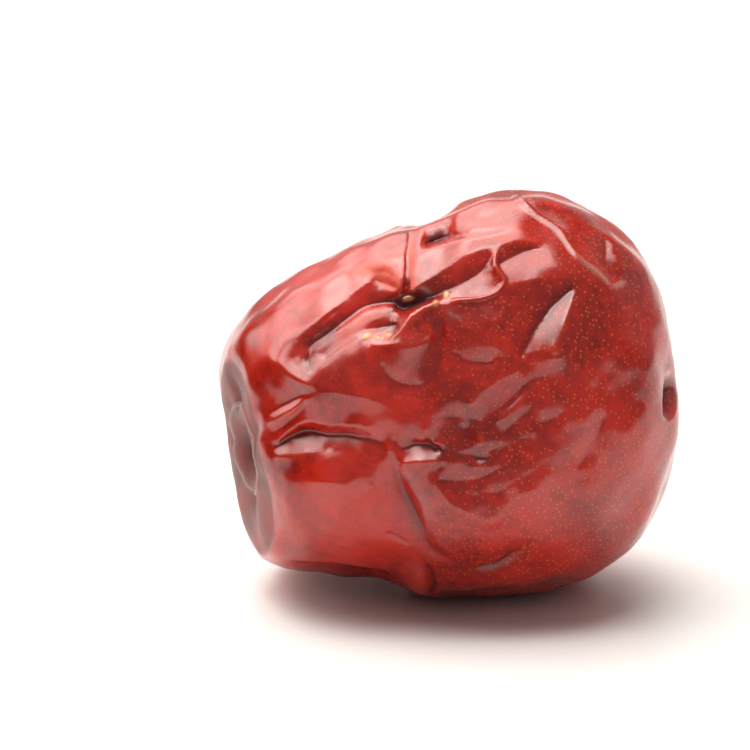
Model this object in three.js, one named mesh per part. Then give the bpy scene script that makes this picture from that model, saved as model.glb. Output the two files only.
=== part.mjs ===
// A dried jujube: one whole fruit, lying on its side as it rests on a table.
// Millimetres, +Z up. +X runs from the stem end to the style end, and the origin is on the table
// under the middle of the fruit. It grew as one piece, so it is one solid: skin, flesh and stone.
//
// The skin has dried onto shrunken flesh. It stands in broad smooth panels between pinched ridges and
// sunk furrows. The fruit is drawn as on a page held square to its best side: U is to the right on
// that page, V is up and W comes out of it. The best side's relief is skin stretched over strings.
// The other sides have folds, each a path on one side of the fruit that is laid onto the body.
import * as THREE from "three";
import { mergeVertices } from "three/addons/utils/BufferGeometryUtils.js";

// The page: how far it is turned to the stem end about the vertical, and how far it leans back.
const PAGE_TURN = THREE.MathUtils.degToRad(-15.5);
const PAGE_LEAN = THREE.MathUtils.degToRad(15);
const PAGE_RIGHT = new THREE.Vector3(Math.cos(PAGE_TURN), Math.sin(PAGE_TURN), 0);
const PAGE_OUT = new THREE.Vector3(
  Math.sin(PAGE_TURN) * Math.cos(PAGE_LEAN),
  -Math.cos(PAGE_TURN) * Math.cos(PAGE_LEAN),
  Math.sin(PAGE_LEAN),
);
const PAGE_UP = new THREE.Vector3().crossVectors(PAGE_OUT, PAGE_RIGHT);

// The body without its folds
const REST_HEIGHT = 15.7; // from the table to the page's middle
const HALF_DEPTH = 16; // from the page's middle to the nearest skin
const FULLNESS = 2.2; // 2 is an ellipsoid, and more is squarer
// Its outline on the page, anticlockwise from the style end
const OUTLINE = [
  [18.3, 0.5], [18.2, 3.4], [17.7, 6.2], [16.3, 10], [13.4, 13.2], [9.8, 15.5], [5.6, 16.3],
  [2, 15.8], [-0.6, 14.5], [-3, 13.6], [-6, 12.7], [-10, 10.8], [-14.2, 8.4], [-17.4, 5],
  [-18.5, 1], [-17.9, -4.4], [-16.8, -9.6], [-14.9, -13.2], [-9.6, -14.2], [-5.4, -14.7],
  [-2.4, -16], [2.4, -16.1], [7.4, -15.6], [11.8, -14.1], [15.4, -11.1], [17.4, -7], [18.3, -3.2],
];

// The ends are blunter than the outline's curve. The stem's axis is on the page.
const STEM_AXIS = new THREE.Vector3(-0.956, -0.186, 0.28).normalize();
const STYLE_AXIS = STEM_AXIS.clone().negate();
const BLUNT_ENDS = [
  { out: STEM_AXIS, reach: 17.4, blend: 0.6 },
  { out: STYLE_AXIS, reach: 18.3, blend: 3 },
];

// The sides that folds are drawn on: which way each faces, and which way is up on it.
const SIDES = {
  front: { out: new THREE.Vector3(0, 0, 1), up: new THREE.Vector3(0, 1, 0) },
  under: { out: new THREE.Vector3(0, -1, 0), up: new THREE.Vector3(0, 0, 1) },
  top: { out: new THREE.Vector3(0, 1, 0), up: new THREE.Vector3(0, 0, -1) },
  stem: { out: STEM_AXIS, up: new THREE.Vector3(0, 1, 0) },
  style: { out: STYLE_AXIS, up: new THREE.Vector3(0, 1, 0) },
};

// The strings of the best side: runs of [U, V, height] points, with heights from the unfolded body.
// Between them the skin hangs as a stretched film does, so it makes flat panels that meet at them.
const STRINGS = [
  // left furrow: its lip, its foot, the rib and the dip under it, and the bright facet's two edges
  [[-4.7, 8.4, -1], [-5.4, 8.9, -0.3], [-6.6, 9.2, 0.3], [-7.5, 8.6, 0.35], [-8.5, 7.9, 0.4],
   [-9.5, 7, 0.4], [-10.5, 6, 0.4], [-11.5, 5.2, 0.4], [-12.2, 4.6, 0.45], [-12.45, 3.7, 0.5],
   [-12.4, 3, 0.55], [-12, 2.3, 0.6], [-11.2, 1.7, 0.65], [-10.9, 1.4, 0.6]],
  [[-14.6, 7.2, 0.3], [-12, 8.8, 0.3], [-9, 10.4, 0.3], [-6.2, 11.8, 0.3]],
  [[-13.8, 4.4, 0.2], [-13.5, 2.8, 0], [-12.6, 1.5, -0.05], [-11.2, 0.8, 0.1]],
  [[-4.4, 7.3, -1.7], [-6, 7.05, -1], [-7, 6.65, -0.9], [-8.2, 5.85, -0.75], [-9.2, 5.05, -0.65],
   [-10.3, 4.3, -0.6], [-11.05, 3.8, -0.5], [-11.1, 2.8, -0.3], [-11, 1.8, 0]],
  [[-4.5, 6.9, -0.9], [-6, 6.7, -0.55], [-7, 6.25, -0.45], [-8, 5.55, -0.38], [-9, 4.8, -0.32],
   [-10, 4.05, -0.3], [-10.8, 3.5, -0.3]],
  [[-4.9, 6.2, -0.85], [-6, 6.1, -0.65], [-7, 5.55, -0.52], [-8, 4.95, -0.45], [-9, 4.25, -0.42],
   [-9.9, 3.65, -0.38]],
  [[-10.85, 3.2, -0.38], [-9.9, 3.25, -0.42], [-9, 4, -0.45], [-8, 4.65, -0.48], [-7.1, 5, -0.55],
   [-6.2, 5.2, -0.8], [-5, 5.3, -1], [-4.3, 5.9, -1.1]],
  [[-10.85, 1.5, 0.55], [-10.6, 1.8, 0.5], [-9.8, 2.5, 0.35], [-8.8, 3.3, 0.25], [-7.8, 4, 0.15],
   [-7.1, 4.45, 0.1], [-6.2, 4.7, 0], [-5.4, 4.9, -0.35], [-4.7, 5.3, -0.8], [-4.3, 5.9, -1.1]],
  // throat: its lower lip and the thin rim that lip runs into, its floor, and the brow over it
  [[-4.6, 4.6, 0.2], [-3.8, 5.4, 0], [-3.2, 6.3, -0.1], [-2.4, 6.9, 0], [-1.4, 7.3, 0.15], [-0.6, 7.35, 0.2],
   [0.8, 7.5, 0.2], [2.2, 7.6, 0.25], [3.2, 7.85, 0.3], [4, 8.5, 0.3], [4.15, 9.1, 0.3],
   [3.8, 9.6, 0.3], [3.45, 10.1, 0.35], [3.5, 11, 0.4], [3.7, 11.7, 0.45]],
  [[-4.4, 7.3, -1.8], [-3.4, 7.4, -2.2], [-2, 7.8, -1.8], [-0.8, 8.05, -1.3], [0.6, 8.7, -0.9],
   [1.7, 9.3, -0.65], [2.6, 10, -0.35], [3.2, 10.9, 0.1]],
  [[-3.2, 8.1, -0.4], [-2.7, 8.6, 0.3], [-2, 9.1, 0.5], [-1.3, 9.6, 0.55], [-0.3, 10.3, 0.6],
   [0.8, 11, 0.6], [2, 11.4, 0.55], [3.5, 11.8, 0.5], [5, 12.1, 0.45], [6.2, 12.2, 0.4],
   [7.2, 12.1, 0.35]],
  [[-1.9, 11.5, 0.5], [-0.5, 12.05, 0.55], [1.5, 12.2, 0.55], [3, 12.45, 0.5], [4.5, 12.8, 0.45],
   [5.5, 12.75, 0.4], [6.6, 12.5, 0.35]],
  [[-1.8, 11.95, -0.9], [-0.5, 12.4, -0.6], [1, 12.55, -0.2], [2.6, 12.8, 0.1], [4.2, 13.1, 0.25]],
  [[0.3, 13.2, 0.1], [2, 13.2, 0.15], [4, 13.4, 0.2], [5.2, 13.9, 0.25]],
  // notch behind the brow, and the strips on either side of it
  [[-1.9, 12.2, -1.6], [-1.2, 12.3, -2.5], [-0.6, 12.5, -2.5], [0.1, 12.9, -1.6]],
  [[-1.5, 13.4, -0.8], [-0.7, 13.7, -0.9], [-0.1, 14.2, -0.9], [0.2, 14.5, -0.8]],
  [[-3.1, 8.5, -0.3], [-2.95, 9.6, 0.3], [-2.7, 11, 0.4], [-2.4, 12.5, 0.35], [-2.2, 13.5, 0.3]],
  [[-3.55, 8, -1.2], [-3.5, 9.5, -0.2], [-3.5, 11, -0.1], [-3.3, 12.4, -0.1], [-3.1, 13.6, 0]],
  [[0.4, 13, 0.1], [0.5, 13.8, 0.3], [0.75, 14.8, 0.3]],
  [[-3.95, 8.2, -0.5], [-3.85, 9.5, 0.35], [-3.8, 11, 0.4], [-3.55, 12.4, 0.35], [-3.3, 13.6, 0.3]],
  // torn patch left of the split
  [[-7.7, 10.2, 0.3], [-6.5, 10.8, 0.3], [-5.4, 10.6, 0.3], [-4.5, 10.1, 0.3]],
  [[-7, 9.7, 0.1], [-6.3, 9.8, -0.15], [-5.4, 9.6, -0.25], [-4.7, 9.4, -0.3]],
  [[-6.2, 9, -0.1], [-5.5, 8.9, -0.5], [-5, 8.6, -0.6], [-4.5, 8.5, -0.8]],
  // pocket right of the thin rim
  [[3.75, 10.3, -0.15], [5, 11, -0.35], [6.2, 11.6, -0.2], [7, 11.7, 0.15]],
  [[3.6, 8, 0.25], [4.4, 8.6, 0.4], [5.4, 8.95, 0.5], [6.8, 9.2, 0.6], [7.6, 9.35, 0.55],
   [9.4, 9.2, 0.35]],
  [[7.4, 12.2, 0.3], [7.9, 11, 0.45], [8.4, 10, 0.5], [9.4, 9.2, 0.35]],
  // long pinched ridge to the right, the ridge it meets, and the hollow between them
  [[5.1, 16.3, 0.1], [5.6, 15.5, 0.1], [6.2, 14.9, 0.1], [7, 14.3, 0.1], [7.8, 13.8, 0.1],
   [8.5, 13.2, 0.15], [9.1, 12.6, 0.2], [9.5, 11.7, 0.2], [10.2, 10.8, 0.25], [10.9, 10, 0.25],
   [11.6, 9.4, 0.3], [12.2, 8.9, 0.35], [12.7, 8.4, 0.4], [13.3, 8.7, 0.4], [14.1, 9.1, 0.35]],
  [[12.7, 13.9, 0.4], [13.1, 13, 0.6], [13.4, 12, 0.6], [13.5, 11, 0.6], [13.9, 10.2, 0.6],
   [14.1, 9.1, 0.45]],
  [[12, 13.4, -0.1], [12.2, 12.4, -0.4], [12.5, 11.4, -0.5], [12.1, 10.6, -0.6], [12.6, 9.8, -0.4],
   [13.2, 9.2, 0]],
  // bright slope
  [[9.5, 8.4, 0], [8.2, 7.3, -0.45], [7.3, 6.1, -0.7], [6.6, 5.2, -0.85], [6, 4.2, -0.55],
   [5.5, 3.1, -0.05]],
  [[9.6, 8.3, 0.1], [9.4, 7.5, 0.25], [8.9, 6.3, 0.35], [8.6, 5.5, 0.4], [8.3, 4.6, 0.55], [7.9, 3.5, 0.75]],
  [[7.9, 3.5, 0.75], [6.7, 3.4, 0.3], [6.2, 3.2, 0.15], [5.5, 3.1, -0.05]],
  [[5.2, 2.5, -0.1], [6.2, 2.7, -0.1], [7.4, 2.8, 0.1], [8.4, 2.6, 0.3]],
  // middle: the upper panel's lower edge, the crease down the middle, and the panels beside it
  [[-0.6, 7, 0.3], [0.9, 5.4, 0.5], [2.7, 4.6, 0.55], [3.6, 3.8, 0.45], [4.6, 3.2, 0.2]],
  [[-1.6, 6.6, 0], [-1.2, 5, -0.25], [-0.9, 3.4, -0.35], [-1.2, 2, -0.35], [-1.6, 1, -0.4],
   [-1.9, 0, -0.4], [-1.8, -1.2, -0.4], [-2, -2.6, -0.45], [-2.3, -3.6, -0.6]],
  [[-6.2, 4.1, 0.4], [-4.7, 4.1, 0.45], [-3.2, 3.7, 0.4], [-2.2, 4.1, 0.35], [-1.6, 4.6, 0.1]],
  [[-5.9, 2.4, -0.1], [-4.9, 1.4, -0.4], [-4, 0.5, -0.6], [-2.8, 0.4, -0.65]],
  [[0.4, 3, -0.4], [0.8, 2.2, -0.5], [1.4, 1.6, -0.4]],
  // rolled shelf: its crown, its edge, its foot, and where the skin under it comes forward again
  [[-11, 0.3, 0.35], [-9, 0.25, 0.4], [-7, -0.1, 0.4], [-5.5, -0.6, 0.2], [-4, -1.2, -0.1],
   [-3, -1.4, -0.25]],
  [[-13.7, -3.7, 0.2], [-13.1, -2.9, 0.2], [-12, -2.2, 0.2], [-11.3, -2.05, 0.15], [-10, -2.3, 0.1],
   [-8, -2.4, 0.05], [-6.5, -2.5, -0.1], [-5.4, -2.6, -0.25], [-4.9, -2.9, -0.3], [-4.5, -3.8, -0.45]],
  [[-13.8, -4.1, -0.2], [-13, -3.4, -0.4], [-12, -2.8, -0.8], [-11.2, -2.7, -1], [-10, -2.95, -1],
   [-8, -3.05, -1], [-6.5, -3.15, -1], [-5.7, -3.4, -0.9], [-5.2, -4.4, -0.8]],
  [[-13.6, -4.8, 0.3], [-12, -4.6, 0.1], [-10.6, -4.6, -0.1]],
  [[-13, -6.2, 0.3], [-12, -6.7, 0.3], [-9, -6.8, 0.3], [-7.3, -8.2, 0.25], [-6.2, -7.2, 0.15]],
  // flaps at the shelf's left end
  [[-11.2, 0, 0.35], [-12.2, -0.9, 0.4], [-13, -1.4, 0.4], [-14.2, -2.1, 0.35]],
  [[-11.6, -0.6, 0], [-12.4, -1.5, -0.05], [-13.3, -2.5, -0.1], [-14, -3.1, 0]],
  // long valley, the rib beside it and the small bright step
  [[-4.9, -4.2, -0.6], [-4.5, -5.6, -0.8], [-4.2, -7, -0.8], [-3.7, -8.3, -0.8], [-3, -9.5, -0.7],
   [-2.5, -10.6, -0.6], [-2, -11.8, -0.55], [-1.2, -12.7, -0.5], [0, -13.1, -0.45], [0.6, -13.3, -0.4]],
  [[-3.4, -4.4, -0.75], [-2.8, -4.15, -0.8], [-1.9, -4.1, -0.8], [-0.9, -4.6, -0.6]],
  [[-3.5, -5.2, 0.1], [-2.4, -5.15, 0.2], [-1.2, -5.05, 0.1]],
  [[-2.9, -6.2, 0.15], [-2, -7.6, 0.2], [-1.3, -9, 0.25], [-0.4, -10.4, 0.2], [0.6, -11.6, 0.1]],
  // basin: its rim, its floor, and the pit and lump at its top left
  [[-1.6, -6, 0], [-1, -7.3, 0.2], [0, -8.9, 0.5], [1.5, -9.6, 0.65], [3, -10.1, 0.75],
   [4, -9.8, 0.7], [4.8, -8.5, 0.5], [5.8, -7.9, 0.45], [7.4, -7.4, 0.4], [8, -6, 0.2],
   [8.2, -4, 0]],
  [[0.2, -7.4, -0.2], [1.8, -7.9, 0], [3.4, -7.8, 0.05], [5.2, -6.6, -0.05], [6.8, -5.8, -0.1]],
  [[-0.7, -6.6, -0.45], [0.8, -6.6, -0.5], [2.4, -6.3, -0.5], [4.4, -5.4, -0.5], [6.6, -4.2, -0.45]],
  [[-0.9, -5.7, -0.3], [0.6, -5.1, -0.2], [1.9, -5.2, -0.25]],
  [[3.2, -4.4, -0.75], [4.6, -4, -0.7], [5.8, -3.4, -0.65]],
  [[-1.7, -1.9, -0.45], [-0.6, -1.7, -0.55], [0.6, -1.7, -0.6], [1.8, -1.9, -0.55], [2.6, -2.4, -0.45]],
  [[1.9, -2.4, -0.55], [2.35, -3.2, -0.1], [2.35, -3.9, 0.1]],
  [[1.2, -2.6, -0.8], [1.4, -3.4, -0.6], [1.7, -4.1, -0.45]],
  [[-1.4, -3.8, -0.5], [0, -4.3, -0.5], [1, -4.4, -0.5]],
  [[0.1, -4.75, -1], [1.2, -4.8, -1.2], [2.2, -4.9, -1]],
  [[2.2, -5.1, -0.75], [2.7, -5.15, -0.75], [3.1, -5.25, -0.7]],
  [[2.1, -5.5, -0.3], [2.6, -5.55, -0.3], [3, -5.6, -0.35]],
  // slanting rolls
  [[1.7, -0.6, 0.2], [2.2, 0.4, 0.3], [3, 1.1, 0.35], [4, 1.8, 0.35], [5.2, 2.2, 0.3]],
  [[2.9, -2.2, -0.35], [3.5, -1.4, -0.4], [4.6, -0.8, -0.4], [5.3, 0, -0.4], [6, 0.8, -0.35],
   [6.8, 1.3, -0.2], [7.4, 1.5, 0]],
  [[3.9, -2, -0.15], [5.2, -0.9, -0.12], [6.2, 0.1, -0.12], [7.2, 0.9, -0.1]],
  [[3.9, -3.2, -0.4], [4.8, -2.3, -0.4], [5.8, -1.5, -0.35], [6.6, -0.8, -0.3]],
  [[6.5, -2.9, -0.2], [6.9, -2.3, -0.45], [7.8, -1.9, -0.45], [8.7, -1.4, -0.25]],
  [[11, -1.4, 0.1], [10.4, -3.2, 0.1], [9.8, -4.6, 0.1]],
  [[12.2, -1.8, -0.08], [11.3, -3.6, -0.1], [10.3, -5.5, -0.08]],
  [[13.2, -2.2, 0.1], [12.4, -4, 0.1], [11.4, -6, 0.08]],
  // style end
  [[17.1, 2.6, 0.2], [16.75, 1.4, 0.35], [16.55, 0, 0.4], [16.6, -1.2, 0.35], [16.5, -2, 0.3],
   [15.9, -2.5, 0.25], [15.2, -3.1, 0.2], [14.8, -4, 0.15], [14.4, -5, 0.12], [13.4, -7, 0.12],
   [12.5, -9, 0.1]],
  // belly: shallow dents
  [[-9.6, -9, -0.15], [-8.8, -10.6, -0.15]],
  [[-5.6, -12.2, -0.15], [-4.6, -12.6, -0.15]],
];
// The film is worked out on square cells, from coarse to fine, in rounds. slack is how far from a
// string it comes back to the body, depth how far behind the page's middle it dies out, and blurs how
// often it is evened out between neighbouring cells at the end.
const FILM = {
  halfSize: [20.4, 18], cells: [1.2, 0.6, 0.3], rounds: 160, slack: 7, depth: 4, blurs: 2,
};

// Folds: a path of [right, up] places on a side. For each hand of it, walking from the first place to
// the last, are how much the skin lifts at the path and how far away that has died out; a negative
// lift sinks. edge is how far the skin takes to turn from one hand to the other, and fade is the
// share of the path over which the fold dies out at its start and at its end.
const FRONT_FOLDS = [
  { name: "nick under the belly", edge: 0.1, left: [-0.4, 0.4], right: [-0.4, 0.6],
    fade: [0.2, 0.2], at: [[-2.1, -13.4], [-1.6, -14.2], [-1.3, -15], [-1.5, -15.8]] },
  { name: "belly crease", edge: 0.1, left: [-0.35, 0.5], right: [-0.35, 0.7], fade: [0.3, 0.3],
    at: [[1.6, -13.8], [3.2, -13.6], [4.3, -13], [5, -12.4], [5.9, -12.1]] },
];
const UNDER_FOLDS = [
  { name: "undercut at the stem end", edge: 1, left: [0, 2], right: [-1.6, 4.5],
    fade: [0.25, 0.3],
    at: [[-13.4, 5], [-10.6, 5.8], [-7.6, 5.6], [-5.2, 4.6], [-3.6, 3.2]] },
];
const TOP_FOLDS = [
  { name: "notch over the top", edge: 0.4, left: [-1.0, 1.8], right: [-1.0, 2.4],
    fade: [0.1, 0.5],
    at: [[-1.4, -1.6], [-1.6, 1.0], [-2.6, 4.0], [-2.2, 7.4], [-3.4, 11.0]] },
];

// Broad swellings and hollows: their side, their middle, their two half-widths and their turn in degrees.
const PADS = [
  { name: "foot", side: "front", at: [-2.6, -14.8], size: [1.8, 2.4], turn: 0, lift: 0.5 },
  { name: "dimple at the style end", side: "front", at: [17.6, 0], size: [0.65, 2], turn: -6,
    lift: -1.8 },
  { name: "lump over the dimple", side: "front", at: [18, 2.9], size: [0.7, 1.5], turn: 0,
    lift: 0.3 },
];

// The scar that the stem left, and the dimple at the style end: where each is on its side, how far it
// goes in, and its raised rim. Short creases run out of both, evenly but for a random shift.
const PITS = [
  { side: "stem", at: [0.2, -1.1], radius: 3.3, depth: 1.2, rim: [0.2, 0.35], creases: 7,
    creaseLength: [2, 4], creaseDepth: [0.1, 0.3], seed: 41 },
  { side: "style", at: [0.6, 0.4], radius: 2.4, depth: 0.8, rim: [0.15, 1.2], creases: 11,
    creaseLength: [3, 6], creaseDepth: [0.2, 0.5], seed: 83 },
];

// Away from the best side, the skin's folds follow a net of cells that are longer than they are wide.
const NET = { cells: 64, seed: 7, stretch: 1.7, crest: 1.15, wide: 2.6, sag: 0.5, patch: 11 };
const NET_FACING = [-0.45, 0.05]; // how squarely skin faces the page where the net is full, and gone
const NET_ENDS = [0.72, 0.92]; // the same for the two ends, which have creases of their own
const CRUMPLE = { seed: 19, size: 5, lift: 0.14 }; // a slight unevenness all over

// How finely the skin is divided: 20 faces, each cut this many times along its sides
const DIVISIONS = 23;
const CROWD = 0.3; // how much closer together the cuts are on the best side
const FINEST = 0.9; // the narrowest edge that skin so divided can show

// Small helpers

const smooth = (t) => {
  const x = THREE.MathUtils.clamp(t, 0, 1);
  return x * x * (3 - 2 * x);
};

// The smaller of two lengths, rounded over where they meet
function softMin(a, b, blend) {
  const share = THREE.MathUtils.clamp(0.5 + (0.5 * (b - a)) / blend, 0, 1);
  return b + (a - b) * share - blend * share * (1 - share);
}

// Random numbers from 0 to 1 that come out the same every time
function randomFrom(seed) {
  let state = seed * 16807;
  return () => {
    state = (state * 16807) % 2147483647;
    return state / 2147483647;
  };
}

// A smooth random unevenness from about -1 to 1, with swells of a given size
function makeRipple(seed, size) {
  const random = randomFrom(seed);
  const waves = [];
  for (let i = 0; i < 7; i++) {
    const up = 2 * random() - 1;
    const turn = 2 * Math.PI * random();
    const pitch = (2 * Math.PI) / (size * (0.7 + 0.8 * random()));
    const flat = Math.sqrt(1 - up * up);
    const way = new THREE.Vector3(flat * Math.cos(turn), flat * Math.sin(turn), up);
    waves.push({ way: way.multiplyScalar(pitch), shift: 2 * Math.PI * random() });
  }
  return (p) => waves.reduce((sum, w) => sum + Math.sin(w.way.dot(p) + w.shift), 0) * 0.45;
}

// The body

const outlineByAngle = OUTLINE
  .map(([u, v]) => ({ angle: Math.atan2(v, u), reach: Math.hypot(u, v) }))
  .sort((a, b) => a.angle - b.angle);

// The outline's distance from the page's middle at an angle, as a smooth closed curve
function outlineReach(angle) {
  const n = outlineByAngle.length;
  const next = outlineByAngle.findIndex((p) => p.angle > angle);
  const last = (next < 0 ? n : next) - 1;
  const [before, from, to, after] = [last - 1, last, last + 1, last + 2].map((i) => {
    const turn = Math.floor(i / n);
    const p = outlineByAngle[i - turn * n];
    return { angle: p.angle + 2 * Math.PI * turn, reach: p.reach };
  });
  const span = to.angle - from.angle;
  const t = (angle - from.angle) / span;
  const leave = ((to.reach - before.reach) / (to.angle - before.angle)) * span;
  const arrive = ((after.reach - from.reach) / (after.angle - from.angle)) * span;
  return from.reach * (2 * t ** 3 - 3 * t ** 2 + 1) + leave * (t ** 3 - 2 * t ** 2 + t)
    + to.reach * (3 * t ** 2 - 2 * t ** 3) + arrive * (t ** 3 - t ** 2);
}

// How far the unfolded body reaches from its middle in a direction on the page
function bodyReach(d) {
  const across = Math.hypot(d.x, d.y) / outlineReach(Math.atan2(d.y, d.x));
  let reach = (across ** FULLNESS + (Math.abs(d.z) / HALF_DEPTH) ** FULLNESS) ** (-1 / FULLNESS);
  for (const end of BLUNT_ENDS) {
    const facing = d.dot(end.out);
    if (facing > 0.1) reach = softMin(reach, end.reach / facing, end.blend);
  }
  return reach;
}

// The best side's stretched skin

// The heights at which the strings hold the film on a grid, and NaN where none does
function heldHeights({ cell, columns, rows }) {
  const total = new Float64Array(columns * rows);
  const count = new Float64Array(columns * rows);
  const hold = (u, v, height) => {
    const column = Math.round((u + FILM.halfSize[0]) / cell);
    const row = Math.round((v + FILM.halfSize[1]) / cell);
    total[row * columns + column] += height;
    count[row * columns + column] += 1;
  };
  for (const string of STRINGS) {
    for (let i = 0; i + 1 < string.length; i++) {
      const [a, b] = [string[i], string[i + 1]];
      const steps = Math.ceil(Math.hypot(b[0] - a[0], b[1] - a[1]) / 0.05);
      for (let step = 0; step <= steps; step++) {
        hold(...a.map((from, axis) => from + ((b[axis] - from) * step) / steps));
      }
    }
  }
  return total.map((sum, at) => (count[at] > 0 ? sum / count[at] : NaN));
}

// Calls work for every cell, with the cell's number and those of its four neighbours
function eachCell({ columns, rows }, work) {
  for (let row = 0; row < rows; row++) {
    for (let column = 0; column < columns; column++) {
      const at = row * columns + column;
      work(at, [
        column > 0 ? at - 1 : at, column + 1 < columns ? at + 1 : at,
        row > 0 ? at - columns : at, row + 1 < rows ? at + columns : at,
      ]);
    }
  }
}

const sumAt = (values, places) => places.reduce((sum, at) => sum + values[at], 0);

// The film's heights on the finest grid
function stretchFilm() {
  let film = null;
  for (const cell of FILM.cells) {
    const [columns, rows] = FILM.halfSize.map((half) => Math.floor((2 * half) / cell) + 1);
    const grid = { cell, columns, rows };
    const held = heldHeights(grid);
    let heights = new Float64Array(columns * rows);
    if (film) {
      eachCell(grid, (at) => {
        const row = Math.min(Math.floor(at / columns / 2), film.rows - 1);
        const column = Math.min(Math.floor((at % columns) / 2), film.columns - 1);
        heights[at] = film.heights[row * film.columns + column];
      });
    }
    const pull = (cell / FILM.slack) ** 2;
    for (let round = 0; round < FILM.rounds; round++) {
      const next = new Float64Array(heights.length);
      eachCell(grid, (at, around) => {
        next[at] = Number.isNaN(held[at]) ? sumAt(heights, around) / (4 + pull) : held[at];
      });
      heights = next;
    }
    film = { ...grid, heights };
  }
  for (let i = 0; i < FILM.blurs; i++) {
    const even = new Float64Array(film.heights.length);
    eachCell(film, (at, around) => {
      even[at] = film.heights[at] / 3 + sumAt(film.heights, around) / 6;
    });
    film.heights = even;
  }
  return film;
}

// How much a film lifts the skin out of the page at a place on the body
function filmLift({ cell, columns, rows, heights }, p) {
  const u = THREE.MathUtils.clamp((p.x + FILM.halfSize[0]) / cell, 0, columns - 1.001);
  const v = THREE.MathUtils.clamp((p.y + FILM.halfSize[1]) / cell, 0, rows - 1.001);
  const at = Math.floor(v) * columns + Math.floor(u);
  const low = THREE.MathUtils.lerp(heights[at], heights[at + 1], u % 1);
  const high = THREE.MathUtils.lerp(heights[at + columns], heights[at + columns + 1], u % 1);
  return THREE.MathUtils.lerp(low, high, v % 1) * smooth(1 + p.z / FILM.depth);
}

// Laying things onto the body

function sideAxes(side) {
  const { out } = SIDES[side];
  const up = SIDES[side].up.clone().projectOnPlane(out).normalize();
  return { right: new THREE.Vector3().crossVectors(up, out), up, out };
}

// The place on the body that a side shows at [x, y], or its edge where that is off the body
function placeOn(side, [x, y]) {
  const { right, up, out } = sideAxes(side);
  const flat = right.clone().multiplyScalar(x).addScaledVector(up, y);
  const at = new THREE.Vector3();
  let [low, high] = [0, 30];
  for (let i = 0; i < 30; i++) {
    const middle = (low + high) / 2;
    at.copy(flat).addScaledVector(out, middle);
    if (at.length() > bodyReach(at.clone().normalize())) high = middle;
    else low = middle;
  }
  const d = at.normalize();
  return d.clone().multiplyScalar(bodyReach(d));
}

// A fold's path as a smooth run of places on the body, with the ball that the fold stays in
function layFold(fold, side) {
  const points = fold.at.map(([x, y]) => new THREE.Vector3(x, y, 0));
  const drawn = new THREE.CatmullRomCurve3(points, false, "catmullrom", 0.5);
  const places = drawn.getPoints(4 * (points.length - 1)).map((p) => placeOn(side, [p.x, p.y]));
  const run = [0];
  for (let i = 1; i < places.length; i++) {
    run.push(run[i - 1] + places[i].distanceTo(places[i - 1]));
  }
  const edge = Math.max(fold.edge, FINEST / 2);
  const hands = [fold.left, fold.right].map(([lift, wide]) => [lift, Math.max(wide, FINEST)]);
  const ball = new THREE.Sphere().setFromPoints(places);
  ball.radius += Math.max(hands[0][1], hands[1][1]) + 2 * edge;
  return { places, run, edge, hands, ball, fade: fold.fade, length: run[run.length - 1] };
}

// The point of a fold's path that is nearest to a place
function nearestOn(fold, p) {
  let best = { away: Infinity };
  const stretch = new THREE.Vector3();
  const off = new THREE.Vector3();
  for (let i = 0; i + 1 < fold.places.length; i++) {
    stretch.subVectors(fold.places[i + 1], fold.places[i]);
    off.subVectors(p, fold.places[i]);
    const share = THREE.MathUtils.clamp(off.dot(stretch) / stretch.lengthSq(), 0, 1);
    const away = off.addScaledVector(stretch, -share).length();
    if (away < best.away) {
      const along = fold.run[i] + share * stretch.length();
      best = { away, along, onLeft: stretch.cross(off).dot(p) > 0 };
    }
  }
  return best;
}

// How much a fold lifts the skin at a place on the body
function foldLift(fold, p) {
  if (!fold.ball.containsPoint(p)) return 0;
  const { away, along, onLeft } = nearestOn(fold, p);
  const from = Math.hypot(away, fold.edge) - fold.edge;
  const [left, right] = fold.hands.map(([lift, wide]) => lift * Math.max(0, 1 - from / wide) ** 2);
  const toLeft = smooth(0.5 + ((onLeft ? 0.5 : -0.5) * away) / fold.edge);
  const fadeIn = smooth(along / (fold.fade[0] * fold.length));
  const fadeOut = smooth((fold.length - along) / (fold.fade[1] * fold.length));
  return (right + (left - right) * toLeft) * fadeIn * fadeOut;
}

function layPad(pad) {
  const { right, up, out } = sideAxes(pad.side);
  const turn = THREE.MathUtils.degToRad(pad.turn);
  return {
    ...pad,
    out,
    middle: placeOn(pad.side, pad.at),
    along: right.clone().multiplyScalar(Math.cos(turn)).addScaledVector(up, Math.sin(turn)),
    across: up.clone().multiplyScalar(Math.cos(turn)).addScaledVector(right, -Math.sin(turn)),
  };
}

function padLift(pad, p) {
  const off = p.clone().sub(pad.middle);
  const q = Math.hypot(
    off.dot(pad.along) / pad.size[0],
    off.dot(pad.across) / pad.size[1],
    off.dot(pad.out) / (2 * Math.max(...pad.size)),
  );
  return q < 1 ? pad.lift * (1 - q * q) ** 2 : 0;
}

// The two ends

function layPit(pit) {
  const { out } = sideAxes(pit.side);
  return { ...pit, out, middle: placeOn(pit.side, pit.at) };
}

function pitLift(pit, p) {
  const off = p.clone().sub(pit.middle);
  if (off.length() > 3 * pit.radius || p.dot(pit.out) < 0) return 0;
  const from = off.projectOnPlane(pit.out).length();
  const bowl = -pit.depth * smooth((pit.radius - from) / (0.75 * pit.radius));
  const [lift, wide] = pit.rim;
  return bowl + lift * Math.max(0, 1 - Math.abs(from - 1.1 * pit.radius) / wide) ** 2;
}

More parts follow.
